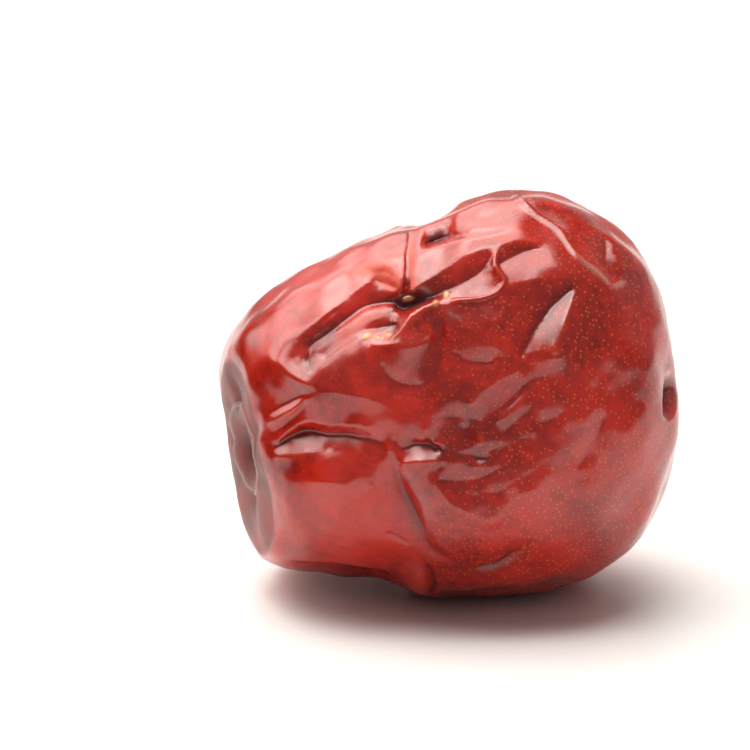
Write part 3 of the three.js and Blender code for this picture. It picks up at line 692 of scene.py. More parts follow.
BEST_SIDE = StretchedSkin(
    strings=(
        # left furrow: its lip, the wall and its foot, the rib, the strip and the bright facet
        ((-4.7, 8.3, -0.9), (-5.6, 8.75, -0.6), (-6.6, 9.2, 0.3), (-7.5, 8.6, 0.4), (-8.5, 7.9, 0.45),
         (-9.5, 7.0, 0.45), (-10.5, 6.0, 0.45), (-11.5, 5.2, 0.4), (-12.2, 4.6, 0.35), (-12.45, 3.7, 0.3),
         (-12.4, 3.0, 0.3), (-12.0, 2.3, 0.35), (-11.2, 1.7, 0.45), (-10.9, 1.4, 0.45)),
        ((-8.7, 6.9, -0.1), (-9.2, 6.45, -0.05), (-10.2, 5.5, -0.05), (-11.1, 4.8, 0.0)),
        ((-14.6, 7.2, 0.3), (-12.0, 8.8, 0.3), (-9.0, 10.4, 0.3)),
        ((-14.8, 3.8, 0.5), (-13.9, 2.7, 0.95), (-12.9, 1.7, 1.05), (-11.9, 1.1, 0.95), (-11.1, 0.8, 0.75)),
        ((-4.4, 7.4, -1.9), (-6.0, 7.25, -1.4), (-7.0, 6.85, -1.15), (-8.2, 6.05, -0.95), (-9.2, 5.3, -0.8),
         (-10.3, 4.5, -0.7), (-11.05, 3.95, -0.55), (-11.2, 2.8, -0.35), (-11.1, 1.9, 0.0)),
        ((-4.5, 6.9, -1.1), (-6.0, 6.7, -0.72), (-7.0, 6.25, -0.62), (-8.0, 5.5, -0.54), (-9.0, 4.75, -0.5),
         (-10.0, 4.0, -0.46), (-10.8, 3.45, -0.42)),
        ((-4.6, 6.2, -1.1), (-6.0, 6.05, -0.72), (-7.0, 5.6, -0.6), (-8.0, 4.95, -0.53), (-9.0, 4.3, -0.5),
         (-9.9, 3.65, -0.47)),
        ((-10.85, 3.1, -0.4), (-9.9, 3.2, -0.48), (-9.0, 4.0, -0.5), (-8.0, 4.65, -0.52), (-7.1, 5.0, -0.6),
         (-6.2, 5.25, -0.82), (-5.0, 5.4, -1.1), (-4.3, 5.6, -1.15)),
        ((-10.85, 1.5, 0.4), (-10.6, 1.8, 0.3), (-9.8, 2.5, 0.1), (-8.8, 3.3, 0.0), (-7.8, 4.0, -0.05),
         (-7.1, 4.45, -0.15), (-6.2, 4.6, -0.5), (-5.4, 4.8, -0.65), (-4.7, 5.0, -0.75), (-4.2, 5.3, -0.85)),
        # throat: its lower lip and the thin rim that lip runs into, its floor, and the brow over it
        ((-4.6, 4.6, 0.35), (-3.8, 5.4, 0.6), (-3.2, 6.3, 0.75), (-2.4, 6.9, 0.6), (-1.4, 7.3, 0.3),
         (-0.6, 7.35, 0.2), (0.8, 7.5, 0.2), (2.2, 7.6, 0.25), (3.2, 7.85, 0.3), (4.0, 8.5, 0.3),
         (4.15, 9.1, 0.3), (3.8, 9.6, 0.3), (3.45, 10.1, 0.35), (3.5, 11.0, 0.4), (3.7, 11.7, 0.45)),
        ((-4.4, 7.1, -2.0), (-3.7, 6.75, -2.3), (-2.9, 7.15, -1.9), (-2.0, 7.6, -0.95), (-0.8, 8.05, -0.6),
         (0.6, 8.65, -0.6), (1.7, 9.3, -0.5), (2.6, 10.0, -0.3), (3.2, 10.9, 0.1)),
        ((-3.2, 8.1, -0.4), (-2.7, 8.6, 0.3), (-2.0, 9.1, 0.5), (-1.3, 9.6, 0.55), (-0.3, 10.3, 0.6),
         (0.8, 11.0, 0.6), (2.0, 11.4, 0.55), (3.5, 11.8, 0.5), (5.0, 12.1, 0.45), (6.2, 12.2, 0.4),
         (7.2, 12.1, 0.35)),
        ((-1.9, 11.5, 0.5), (-0.5, 12.05, 0.55), (1.5, 12.2, 0.55), (3.0, 12.45, 0.5), (4.5, 12.8, 0.45),
         (5.5, 12.75, 0.4), (6.6, 12.5, 0.35)),
        ((0.5, 12.5, -0.4), (1.0, 12.55, -0.2), (2.6, 12.8, 0.1), (4.2, 13.1, 0.25)),
        ((0.3, 13.2, 0.1), (2.0, 13.2, 0.15), (4.0, 13.4, 0.2), (5.2, 13.9, 0.25)),
        # notch behind the brow, and the strips on either side of it
        ((-1.95, 12.0, -1.2), (-1.3, 12.2, -2.1), (-0.6, 12.5, -1.9), (0.0, 12.8, -1.2)),
        ((-1.7, 13.2, -0.2), (-0.8, 13.4, -0.2), (-0.1, 13.9, -0.2), (0.2, 14.4, -0.1)),
        ((-3.1, 8.5, -0.3), (-2.95, 9.6, 0.3), (-2.7, 11.0, 0.4), (-2.4, 12.5, 0.35), (-2.2, 13.5, 0.3)),
        ((-3.55, 8.0, -1.2), (-3.5, 9.5, -0.2), (-3.5, 11.0, -0.1), (-3.3, 12.4, -0.1), (-3.1, 13.6, 0.0)),
        ((0.4, 13.0, 0.1), (0.5, 13.8, 0.3), (0.75, 14.8, 0.3)),
        ((-3.95, 8.2, -0.5), (-3.85, 9.5, 0.35), (-3.8, 11.0, 0.4), (-3.55, 12.4, 0.35), (-3.3, 13.6, 0.3)),
        # torn patch left of the split
        ((-7.9, 9.8, 0.45), (-7.3, 10.5, 0.55), (-6.5, 10.8, 0.6), (-5.4, 10.7, 0.55), (-4.6, 10.2, 0.45)),
        ((-7.2, 9.5, 0.1), (-6.6, 9.9, 0.05), (-6.1, 9.7, -0.1), (-5.4, 9.75, -0.15), (-4.7, 9.4, -0.25)),
        ((-6.2, 9.1, -0.4), (-5.6, 9.0, -0.65), (-5.0, 8.8, -0.75), (-4.5, 8.5, -0.9)),
        # pocket right of the thin rim
        ((3.75, 10.3, -0.15), (5.0, 11.0, -0.35), (6.2, 11.6, -0.2), (7.0, 11.7, 0.15)),
        ((3.6, 8.0, 0.25), (4.4, 8.6, 0.4), (5.4, 8.95, 0.5), (6.8, 9.2, 0.6), (7.6, 9.35, 0.55),
         (9.4, 9.2, 0.35)),
        ((7.4, 12.2, 0.3), (7.9, 11.0, 0.45), (8.4, 10.0, 0.5), (9.4, 9.2, 0.35)),
        # long pinched ridge to the right, the ridge it meets, and the hollow between them
        ((5.1, 16.3, 0.1), (5.6, 15.5, 0.1), (6.2, 14.9, 0.1), (7.0, 14.3, 0.1), (7.8, 13.8, 0.1),
         (8.5, 13.2, 0.15), (9.1, 12.6, 0.2), (9.5, 11.7, 0.2), (10.2, 10.8, 0.25), (10.9, 10.0, 0.25),
         (11.6, 9.4, 0.3), (12.2, 8.9, 0.35), (12.7, 8.4, 0.4), (13.3, 8.7, 0.4), (14.1, 9.1, 0.35)),
        ((12.8, 14.0, 0.7), (12.95, 13.0, 0.55), (13.0, 12.1, 0.4), (12.9, 11.3, 0.1), (13.4, 10.6, 0.35),
         (13.9, 9.9, 0.4), (14.15, 9.1, 0.35)),
        ((12.1, 13.7, 0.15), (12.05, 12.9, -0.1), (12.15, 12.0, -0.3), (12.3, 11.3, -0.3),
         (12.0, 10.6, -0.35), (12.5, 9.8, -0.4), (13.2, 9.15, -0.05)),
        # bright slope
        ((9.5, 8.4, -0.1), (8.2, 7.3, -0.45), (7.3, 6.1, -0.55), (6.6, 5.2, -0.6), (6.0, 4.2, -0.55),
         (5.5, 3.1, -0.4)),
        ((9.75, 8.3, 0.1), (9.6, 7.5, 0.35), (9.2, 6.3, 0.55), (8.9, 5.5, 0.7), (8.6, 4.6, 0.85),
         (8.2, 3.5, 1.0)),
        ((8.2, 3.5, 1.0), (7.2, 3.4, 0.45), (6.2, 3.2, -0.05), (5.5, 3.1, -0.4)),
        ((5.2, 2.6, -0.1), (6.2, 2.7, 0.0), (7.4, 2.8, 0.45), (8.4, 2.8, 0.95)),
        # middle: the upper panel's lower edge, the crease down the middle, and the panels beside it
        ((-0.5, 6.9, 0.15), (0.9, 5.4, 0.1), (2.7, 4.6, 0.1), (3.6, 3.8, 0.15), (4.6, 3.2, 0.05)),
        ((0.4, 6.5, 0.1), (2.2, 6.3, 0.1), (3.6, 5.9, 0.12)),
        ((-1.6, 6.6, 0.0), (-1.2, 5.0, -0.25), (-0.9, 3.4, -0.35), (-1.2, 2.0, -0.35), (-1.6, 1.0, -0.4),
         (-1.9, 0.0, -0.4), (-1.8, -1.2, -0.4), (-2.0, -2.6, -0.45), (-2.3, -3.6, -0.6)),
        ((-6.2, 4.1, 0.1), (-4.7, 4.1, 0.48), (-3.2, 3.8, 0.6), (-2.2, 4.1, 0.5), (-1.7, 4.5, 0.3)),
        ((-5.6, 2.4, -0.3), (-4.9, 1.4, -0.65), (-4.0, 0.8, -0.85), (-2.4, 0.7, -0.82)),
        ((-4.7, 0.5, -0.62), (-4.0, 0.0, -0.72), (-2.6, -0.1, -0.75)),
        ((0.2, 3.3, -0.6), (0.8, 2.7, -0.68), (2.0, 2.5, -0.65), (3.2, 2.6, -0.45)),
        # rolled shelf: its crown, its edge, its foot, and where the skin under it comes forward again
        ((-11.0, 0.3, 0.35), (-9.0, 0.25, 0.4), (-7.0, -0.1, 0.35), (-5.5, -0.6, -0.05),
         (-4.0, -1.2, -0.45), (-2.9, -1.4, -0.55)),
        ((-13.7, -3.7, 0.2), (-13.1, -2.9, 0.15), (-12.0, -2.2, 0.1), (-11.3, -2.05, 0.0),
         (-10.0, -2.3, -0.1), (-8.0, -2.4, -0.18), (-6.5, -2.5, -0.4), (-5.4, -2.6, -0.65),
         (-4.9, -2.9, -0.8), (-4.5, -3.8, -0.95)),
        ((-13.8, -4.1, -0.2), (-13.0, -3.4, -0.45), (-12.0, -2.9, -0.9), (-11.2, -2.85, -1.1),
         (-10.0, -3.1, -1.15), (-8.0, -3.2, -1.18), (-6.5, -3.3, -1.2), (-5.7, -3.6, -1.15),
         (-5.2, -4.4, -1.0)),
        ((-13.6, -4.8, 0.6), (-12.0, -4.75, 0.45), (-11.0, -4.6, 0.0)),
        ((-9.8, -4.25, -0.74), (-8.2, -4.3, -0.76), (-6.6, -4.45, -0.78)),
        ((-13.0, -6.2, 0.3), (-12.0, -6.7, 0.3), (-9.0, -6.8, 0.3), (-7.3, -8.2, 0.25), (-6.2, -7.2, 0.15)),
        # flaps at the shelf's left end
        ((-11.7, 0.1, 0.1), (-12.5, -0.35, -0.1), (-13.3, -0.8, -0.1), (-14.3, -1.4, 0.0)),
        ((-11.2, -0.2, 0.35), (-12.2, -0.95, 0.45), (-13.0, -1.4, 0.45), (-14.2, -2.1, 0.4)),
        ((-11.6, -0.6, 0.0), (-12.4, -1.5, -0.05), (-13.3, -2.5, -0.1), (-14.0, -3.1, 0.0)),
        # long valley, the rib beside it and the small bright step
        ((-4.9, -4.2, -0.6), (-4.5, -5.6, -0.8), (-4.2, -7.0, -0.8), (-3.7, -8.3, -0.8), (-3.0, -9.5, -0.7),
         (-2.5, -10.6, -0.6), (-2.0, -11.8, -0.55), (-1.2, -12.7, -0.5), (0.0, -13.1, -0.45),
         (0.6, -13.3, -0.4)),
        ((-3.7, -4.2, -0.95), (-2.8, -3.8, -1.15), (-1.9, -3.8, -1.1), (-0.9, -4.3, -0.85)),
        ((-3.7, -5.35, 0.1), (-2.4, -5.3, 0.3), (-1.1, -5.2, 0.1)),
        ((-2.9, -6.2, 0.15), (-2.0, -7.6, 0.3), (-1.3, -9.0, 0.5), (-0.4, -10.4, 0.7), (0.6, -11.6, 0.6)),
        # basin: its rim, its floor, and the pit and lump at its top left
        ((-1.6, -6.0, 0.0), (-1.0, -7.3, 0.35), (0.0, -8.9, 0.85), (1.5, -9.6, 1.1), (3.0, -10.1, 1.25),
         (4.0, -9.8, 1.2), (4.8, -8.5, 0.85), (5.8, -7.9, 0.75), (7.4, -7.4, 0.6), (8.0, -6.0, 0.3),
         (8.2, -4.0, 0.0)),
        ((0.2, -7.4, -0.05), (1.8, -7.9, 0.2), (3.4, -7.8, 0.3), (5.2, -6.6, 0.25), (6.8, -5.8, 0.2)),
        ((-0.7, -6.7, -0.33), (0.8, -6.7, -0.33), (2.4, -6.4, -0.32), (4.4, -5.4, -0.2), (6.6, -4.2, -0.18)),
        ((-0.9, -5.7, -0.35), (0.6, -5.15, -0.3), (1.9, -5.25, -0.35)),
        ((3.2, -4.3, -0.55), (4.6, -4.0, -0.5), (5.8, -3.4, -0.45)),
        ((-1.7, -1.9, -0.45), (-0.6, -1.7, -0.55), (0.6, -1.7, -0.6), (1.8, -1.9, -0.55),
         (2.6, -2.4, -0.45)),
        ((1.9, -2.4, -0.55), (2.35, -3.2, -0.1), (2.35, -3.9, 0.1)),
        ((1.2, -2.6, -0.8), (1.4, -3.4, -0.6), (1.7, -4.1, -0.45)),
        ((-1.4, -3.8, -0.5), (0.0, -4.3, -0.5), (1.0, -4.4, -0.5)),
        ((0.2, -4.6, -0.5), (0.9, -4.75, -0.55), (1.6, -4.7, -0.6), (2.1, -4.95, -0.65), (2.9, -5.0, -0.6)),
        ((2.0, -5.6, -0.15), (2.5, -5.6, -0.1), (3.0, -5.65, -0.15)),
        # facet under the belly crease
        ((1.6, -13.7, -0.3), (3.2, -13.5, -0.35), (4.3, -13.0, -0.35), (5.0, -12.4, -0.3),
         (5.9, -12.1, -0.1)),
        ((1.6, -15.2, 0.3), (3.4, -15.0, 0.6), (5.2, -14.4, 0.5), (6.4, -13.6, 0.25)),
        # slanting rolls
        ((1.6, -0.7, 0.1), (2.1, 0.1, 0.1), (3.0, 0.8, 0.12), (4.1, 1.5, 0.13), (5.3, 2.0, 0.14)),
        ((2.9, -2.2, -0.35), (3.5, -1.4, -0.4), (4.6, -0.8, -0.4), (5.3, 0.0, -0.4), (6.0, 0.8, -0.35),
         (6.8, 1.3, -0.2), (7.4, 1.5, 0.0)),
        ((3.9, -2.0, -0.15), (5.2, -0.9, -0.12), (6.2, 0.1, -0.12), (7.2, 0.9, -0.1)),
        ((3.9, -3.2, -0.48), (4.8, -2.3, -0.46), (5.8, -1.5, -0.38), (6.6, -0.8, -0.3)),
        ((6.5, -2.9, -0.2), (6.9, -2.3, -0.45), (7.8, -1.9, -0.45), (8.7, -1.4, -0.25)),
        ((11.0, -1.4, 0.1), (10.4, -3.2, 0.1), (9.8, -4.6, 0.1)),
        ((12.2, -1.8, -0.08), (11.3, -3.6, -0.1), (10.3, -5.5, -0.08)),
        ((13.2, -2.2, 0.1), (12.4, -4.0, 0.1), (11.4, -6.0, 0.08)),
        # style end
        ((17.1, 2.6, 0.2), (16.75, 1.4, 0.35), (16.55, 0.0, 0.4), (16.6, -1.2, 0.35), (16.5, -2.0, 0.3),
         (15.9, -2.5, 0.25), (15.2, -3.1, 0.2), (14.8, -4.0, 0.15), (14.4, -5.0, 0.12), (13.4, -7.0, 0.12),
         (12.5, -9.0, 0.1)),
        # belly: shallow dents
        ((-9.6, -9.0, -0.15), (-8.8, -10.6, -0.15)),
        ((-5.6, -12.2, -0.15), (-4.6, -12.6, -0.15)),
    )
)

FRONT_FOLDS = (
    Fold("long valley",
         ((-4.5, -5.2), (-4.2, -7.0), (-3.7, -8.3), (-3.0, -9.5), (-2.5, -10.6), (-2.0, -11.8), (-1.2, -12.7),
          (0.2, -13.2)),
         (-0.4, 1.1), (-0.25, 0.9), 0.35, (0.3, 0.2)),
    Fold("middle crease",
         ((-1.0, 6.9), (-0.8, 5.2), (-0.9, 3.6), (-1.2, 2.0), (-1.7, 0.4), (-1.9, -1.2), (-2.2, -3.2)),
         (-0.2, 0.6), (-0.2, 0.8), 0.2, (0.25, 0.25)),
    Fold("thin rim",
         ((3.7, 11.7), (3.5, 11.0), (3.45, 10.2), (3.8, 9.6), (4.15, 9.1), (4.1, 8.7), (3.7, 8.2),
          (3.0, 7.85), (1.8, 7.6), (-0.4, 7.4)),
         (0.28, 0.3), (0.28, 0.3), 0.08, (0.15, 0.15)),
    Fold("pinched ridge",
         ((5.1, 16.3), (5.8, 15.2), (6.8, 14.4), (7.8, 13.8), (8.6, 13.2), (9.1, 12.6), (9.5, 11.9),
          (10.0, 11.1), (10.7, 10.3), (11.4, 9.6), (12.0, 9.0), (12.7, 8.45)),
         (0.2, 0.26), (0.34, 0.32), 0.07, (0.1, 0.1)),
    Fold("nick under the belly", ((-2.1, -13.4), (-1.6, -14.2), (-1.3, -15.0), (-1.5, -15.8)),
         (-0.4, 0.4), (-0.4, 0.6), 0.06, (0.2, 0.2)),
    Fold("belly crease", ((1.6, -13.8), (3.2, -13.6), (4.3, -13.0), (5.0, -12.4), (5.9, -12.1)),
         (-0.35, 0.5), (-0.35, 0.7), 0.08, (0.3, 0.3)),
    Fold("fine crack", ((-5.2, -10.8), (-4.2, -11.2), (-3.2, -11.9)),
         (-0.3, 0.3), (-0.3, 0.4), 0.05, (0.2, 0.3)),
)
OTHER_FOLDS = (
    Fold("undercut at the stem end", ((-13.4, 5.0), (-10.6, 5.8), (-7.6, 5.6), (-5.2, 4.6), (-3.6, 3.2)),
         (0.0, 2.0), (-1.6, 4.5), 1.0, (0.25, 0.3), Side.UNDER),
    Fold("notch over the top", ((-1.4, -1.6), (-1.6, 1.0), (-2.6, 4.0), (-2.2, 7.4), (-3.4, 11.0)),
         (-1.0, 1.8), (-1.0, 2.4), 0.4, (0.1, 0.5), Side.TOP),
)
PADS = (
    Pad("foot", (-2.6, -14.8), (1.8, 2.4), 0, 0.5),
    Pad("dimple at the style end", (17.6, 0.0), (0.7, 2.3), -11, -1.5),
    Pad("lump over the dimple", (18.0, 2.9), (0.7, 1.5), 0, 0.3),
)
STEM_PIT = Pit("stem's pit", Side.STEM, (0.2, -1.1), 3.3, 1.2, (0.2, 0.35), 7, (2.0, 4.0), (0.1, 0.3), 41)
STYLE_PIT = Pit("style's pit", Side.STYLE, (0.6, 0.4), 2.4, 0.8, (0.15, 1.2), 11, (3.0, 6.0), (0.2, 0.5), 83)
MARKS = (
    Mark(Look.CRUMB, 1.0, Pad("crumb in the furrow", (-6.6, 4.65), (0.45, 0.35), 20, 0.2)),
    Mark(Look.CRUMB, 0.5, Pad("crumb in the furrow", (-5.75, 4.6), (0.4, 0.3), 0, 0.25)),
    Mark(Look.CRUMB, 0.6, Pad("crumb in the furrow", (-5.0, 4.8), (0.45, 0.3), 10, 0.2)),
    Mark(Look.CRUMB, 1.0, Pad("crumb in the throat", (-3.35, 7.6), (0.6, 0.28), 4, 0.35)),
    Mark(Look.CRUMB, 1.0, Pad("crumb in the throat", (-0.35, 7.95), (0.35, 0.35), 0, 0.3)),
    Mark(Look.CRUMB, 0.5, Pad("crumb at the lip", (-1.2, 7.3), (0.35, 0.4), -10, 0.2)),
    Mark(Look.TORN, 0.8, Pad("strip right of the split", (-3.05, 10.6), (0.42, 3.6), 4, 0.0)),
    Mark(Look.TORN, 0.6, Pad("lump on the torn patch", (-6.9, 10.0), (1.5, 1.0), 15, 0.12)),
    Mark(Look.TORN, 0.8, Pad("lump on the torn patch", (-5.5, 9.9), (1.6, 1.4), -20, 0.15)),
    Mark(Look.TORN, 0.8, Pad("lump on the torn patch", (-4.8, 9.1), (1.1, 1.4), 0, 0.12)),
    # painted shade: the floor of the notch and the hollow of the throat are darkened where shade falls
    Mark(Look.PITH, 0.35, Pad("floor of the notch", (-1.0, 12.6), (1.3, 1.0), 25, 0.0)),
    Mark(Look.PITH, 0.8, Pad("hollow of the throat", (-3.1, 7.5), (2.2, 0.9), 12, 0.0)),
    Mark(Look.TORN, 0.45, Pad("strip under the rib", (-7.0, 5.75), (3.4, 0.55), 36, 0.0)),
    Mark(Look.SCAR, 0.4, Pad("pale stretch of the pinched ridge", (11.3, 9.85), (2.3, 0.4), -42, 0.0)),
    Mark(Look.SCAR, 0.4, Pad("pale stretch of the pinched ridge", (13.4, 8.8), (1.0, 0.35), 25, 0.0)),
)


def linear(hex_colour: str) -> tuple[float, float, float, float]:
    """Turns an sRGB colour into a linear one.

    Args:
        hex_colour: Two hex digits each of red, green and blue, such as "aa1c16".

    Returns:
        Linear red, green, blue and alpha.
    """
    parts = [int(hex_colour[i : i + 2], 16) / 255 for i in (0, 2, 4)]
    red, green, blue = (p / 12.92 if p <= 0.04045 else ((p + 0.055) / 1.055) ** 2.4 for p in parts)
    return red, green, blue, 1.0


def add_node(
    tree: bpy.types.NodeTree,
    kind: str,
    settings: dict[str, Any] | None = None,
    inputs: dict[str, Any] | None = None,
) -> bpy.types.Node:
    """Adds a node with its settings and its inputs.

    Args:
        tree: The node tree.
        kind: Blender's name of the node's type.
        settings: The node's own properties, by name.
        inputs: Values or the output sockets to link, by the input's name or number.

    Returns:
        The new node.
    """
    node = tree.nodes.new(kind)
    for name, value in (settings or {}).items():
        setattr(node, name, value)
    for name, value in (inputs or {}).items():
        socket = node.inputs[name]
        if isinstance(value, bpy.types.NodeSocket):
            tree.links.new(value, socket)
        else:
            socket.default_value = value
    return node


@dataclass(frozen=True)
class WaxySkin:
    """The jujube's own skin, dried, washed and waxed.

    Wax gives it a sharp clear gloss over a deep and uneven red, with small pale breathing pores. It is
    darker in creases, a painted shade, and more orange on ridges, a painted glow of light through the
    thin skin. It is dull where it is torn or where the painted shade of a hollow shows. A noise is a size
    in millimetres and a detail. A span turns what lies between its first two numbers into what lies
    between its last two. A pore's edge starts and ends at two shares of its radius.
    """

    deep: str = "84160f"
    ripe: str = "be2518"
    ripening: Place = (0.36, 0.6)
    patches: Place = (7.0, 2.0)
    specks: Place = (0.9, 3.0)
    speck_share: float = 0.4
    pore: str = "dc6a34"
    pore_spacing: float = 0.38
    pore_radius: float = 0.1
    pore_edge: Place = (1.2, 0.6)
    pore_share: float = 0.6
    pores_along: Span = (-9 * MM, 3 * MM, 0.2, 0.9)
    # painted shade: the dark colour laid into sunk creases and at the bottom of hollows
    hollow: str = "4a0c12"
    sunk: Span = (-0.1, -1.0, 0.0, 0.7)
    # painted light: ridges made more orange, standing in for light shining through the thin skin
    ridge: str = "c43a20"
    raised: Span = (0.25, 1.2, 0.0, 0.6)
    torn: str = "d8482e"
    cap: str = "6c3531"
    cap_patches: Place = (2.5, 3.0)
    cap_unevenness: Span = (0.35, 0.6, 0.55, 1.0)
    crumb: str = "e6b27a"
    scar: str = "b59a90"
    gloss: float = 0.2
    dull_gloss: float = 0.5
    grain: Place = (0.7, 2.0)
    grain_strength: float = 0.15
    grain_height: float = 0.05
    ior: float = 1.62
    flesh_glow: float = 0.12
    flesh_reach: tuple[float, float, float] = (1.0, 0.25, 0.12)
    flesh_scale: float = 0.8

    def make(self) -> bpy.types.Material:
        """Mixes the material, which reads the mesh's crease attribute and one for each Look.

        Returns:
            The material.
        """
        material = bpy.data.materials.new("waxed jujube skin")
        material.use_nodes = True
        tree = material.node_tree
        tree.nodes.clear()
        spot = add_node(tree, "ShaderNodeTexCoord").outputs["Object"]
        patches, specks, cap_patches, grain = (
            add_node(
                tree,
                "ShaderNodeTexNoise",
                inputs={"Vector": spot, "Scale": 1 / (size * MM), "Detail": detail},
            ).outputs[0]
            for size, detail in (self.patches, self.specks, self.cap_patches, self.grain)
        )
        looks = {
            look: add_node(tree, "ShaderNodeAttribute", {"attribute_name": look.value}).outputs["Fac"]
            for look in Look
        }
        dull = looks[Look.TORN]
        for look in (Look.CAP, Look.PITH, Look.CRUMB):
            dull = add_node(
                tree, "ShaderNodeMath", {"operation": "MAXIMUM"}, {0: dull, 1: looks[look]}
            ).outputs[0]
        uneven = add_node(
            tree, "ShaderNodeMapRange", inputs=dict(enumerate((cap_patches, *self.cap_unevenness)))
        ).outputs["Result"]
        uneven_cap = add_node(
            tree, "ShaderNodeMath", {"operation": "MULTIPLY"}, {0: looks[Look.CAP], 1: uneven}
        ).outputs[0]
        crease = add_node(tree, "ShaderNodeAttribute", {"attribute_name": "crease"}).outputs["Fac"]
        # painted shade where the skin sinks below the skin around it, painted orange light where it stands
        # out
        sunk, raised = (
            add_node(tree, "ShaderNodeMapRange", inputs=dict(enumerate((crease, *span)))).outputs["Result"]
            for span in (self.sunk, self.raised)
        )
        colour = self.red(tree, patches, specks)
        for share, over in (
            (self.pores(tree, spot), self.pore),
            # painted shade in sunk creases
            (sunk, self.hollow),
            # painted light: an orange glow on ridges
            (raised, self.ridge),
            (looks[Look.TORN], self.torn),
            (uneven_cap, self.cap),
            # painted shade at the bottom of hollows
            (looks[Look.PITH], self.hollow),
            (looks[Look.CRUMB], self.crumb),
            (looks[Look.SCAR], self.scar),
        ):
            colour = add_node(
                tree, "ShaderNodeMix", {"data_type": "RGBA"}, {0: share, 6: colour, 7: linear(over)}
            ).outputs[2]
        roughness = add_node(
            tree, "ShaderNodeMix", {"data_type": "FLOAT"}, {0: dull, 2: self.gloss, 3: self.dull_gloss}
        )
        bump = add_node(
            tree,
            "ShaderNodeBump",
            inputs={"Height": grain, "Strength": self.grain_strength, "Distance": self.grain_height * MM},
        )
        # wax is nearer to 1.45: the higher index matches the strong reflections
        shader = add_node(
            tree,
            "ShaderNodeBsdfPrincipled",
            inputs={
                "Base Color": colour,
                "Roughness": roughness.outputs[0],
                "Normal": bump.outputs["Normal"],
                "IOR": self.ior,
                "Subsurface Weight": self.flesh_glow,
                "Subsurface Radius": self.flesh_reach,
                "Subsurface Scale": self.flesh_scale * MM,
            },
        )
        add_node(tree, "ShaderNodeOutputMaterial", inputs={"Surface": shader.outputs["BSDF"]})
        return material

    def red(
        self, tree: bpy.types.NodeTree, patches: bpy.types.NodeSocket, specks: bpy.types.NodeSocket
    ) -> bpy.types.NodeSocket:
        """Adds the uneven red of a fruit that ripened and dried unevenly.

        Args:
            tree: The material's node tree.
            patches: The noise of its broad patches.
            specks: The noise of its small specks.

        Returns:
            The colour.
        """
        blend = add_node(
            tree, "ShaderNodeMix", {"data_type": "FLOAT"}, {0: self.speck_share, 2: patches, 3: specks}
        )
        red = add_node(tree, "ShaderNodeValToRGB", inputs={"Fac": blend.outputs[0]})
        for element, position, shade in zip(red.color_ramp.elements, self.ripening, (self.deep, self.ripe)):
            element.position = position
            element.color = linear(shade)
        return red.outputs["Color"]

    def pores(self, tree: bpy.types.NodeTree, spot: bpy.types.NodeSocket) -> bpy.types.NodeSocket:
        """Adds the breathing pores, which thin out towards the stem end.

        Args:
            tree: The material's node tree.
            spot: The place on the fruit.

        Returns:
            How much of a pore is there.
        """
        cells = add_node(
            tree,
            "ShaderNodeTexVoronoi",
            {"voronoi_dimensions": "3D", "feature": "F1"},
            {"Vector": spot, "Scale": 1 / (self.pore_spacing * MM)},
        )
        outer, inner = (share * self.pore_radius / self.pore_spacing for share in self.pore_edge)
        inside = add_node(
            tree,
            "ShaderNodeMapRange",
            {"interpolation_type": "SMOOTHSTEP"},
            dict(enumerate((cells.outputs["Distance"], outer, inner, 0.0, self.pore_share))),
        )
        along = add_node(tree, "ShaderNodeSeparateXYZ", inputs={0: spot}).outputs["X"]
        spread = add_node(tree, "ShaderNodeMapRange", inputs=dict(enumerate((along, *self.pores_along))))
        return add_node(
            tree, "ShaderNodeMath", {"operation": "MULTIPLY"}, {0: inside.outputs[0], 1: spread.outputs[0]}
        ).outputs[0]


@dataclass(frozen=True)
class AcrylicSheet:
    """A cast white acrylic sheet with a satin face: pale and plain, with soft and blurred reflections."""

    white: str = "eeeeee"
    satin: float = 0.35

    def make(self) -> bpy.types.Material:
        """Mixes the material.

        Returns:
            The material.
        """
        material = bpy.data.materials.new("white acrylic sheet")
        material.use_nodes = True
        shader = material.node_tree.nodes["Principled BSDF"]
        shader.inputs["Base Color"].default_value = linear(self.white)
        shader.inputs["Roughness"].default_value = self.satin
        return material


@dataclass(frozen=True)
class StemCap:
    """The dull face around the stem's pit, with the pale ring of the scar and painted shade in the pit.

    The cap starts cap_start behind the blunt end's flat, and is whole cap_fade further out. scar and
    pith are how much of each shows. The painted shade, a darkening where shade falls in the
    pit, starts at painted_shade_out, a share of the pit's radius, and is whole painted_shade_fade further in.
    """

    cap_start: float = 0.2
    cap_fade: float = 0.15
    scar: float = 0.7
    scar_width: float = 0.3
    # painted shade: how dark the bottom of the stem's pit is painted
    pith: float = 0.7
    painted_shade_out: float = 0.8
    painted_shade_fade: float = 1.2

    def shares(self, body: FruitBody, places: Array) -> dict[Look, Array]:
        """Finds the cap, its scar and its pith.

        Args:
            body: The unfolded body.
            places: Places on it, one a row.

        Returns:
            How much of each look shows at each place.
        """
        end = body.ends[0]
        cap = smooth((places @ np.array(end.out) - end.reach + self.cap_start) / self.cap_fade)
        sideways = STEM_PIT.away(body, places)[1]
        from_rim = np.abs(sideways - STEM_PIT.crest * STEM_PIT.radius)
        # painted shade: darker towards the middle of the pit
        inside = smooth((self.painted_shade_out * STEM_PIT.radius - sideways) / self.painted_shade_fade)
        return {
            Look.CAP: cap,
            Look.SCAR: self.scar * cap * np.maximum(0, 1 - from_rim / self.scar_width),
            Look.PITH: self.pith * cap * inside,
        }


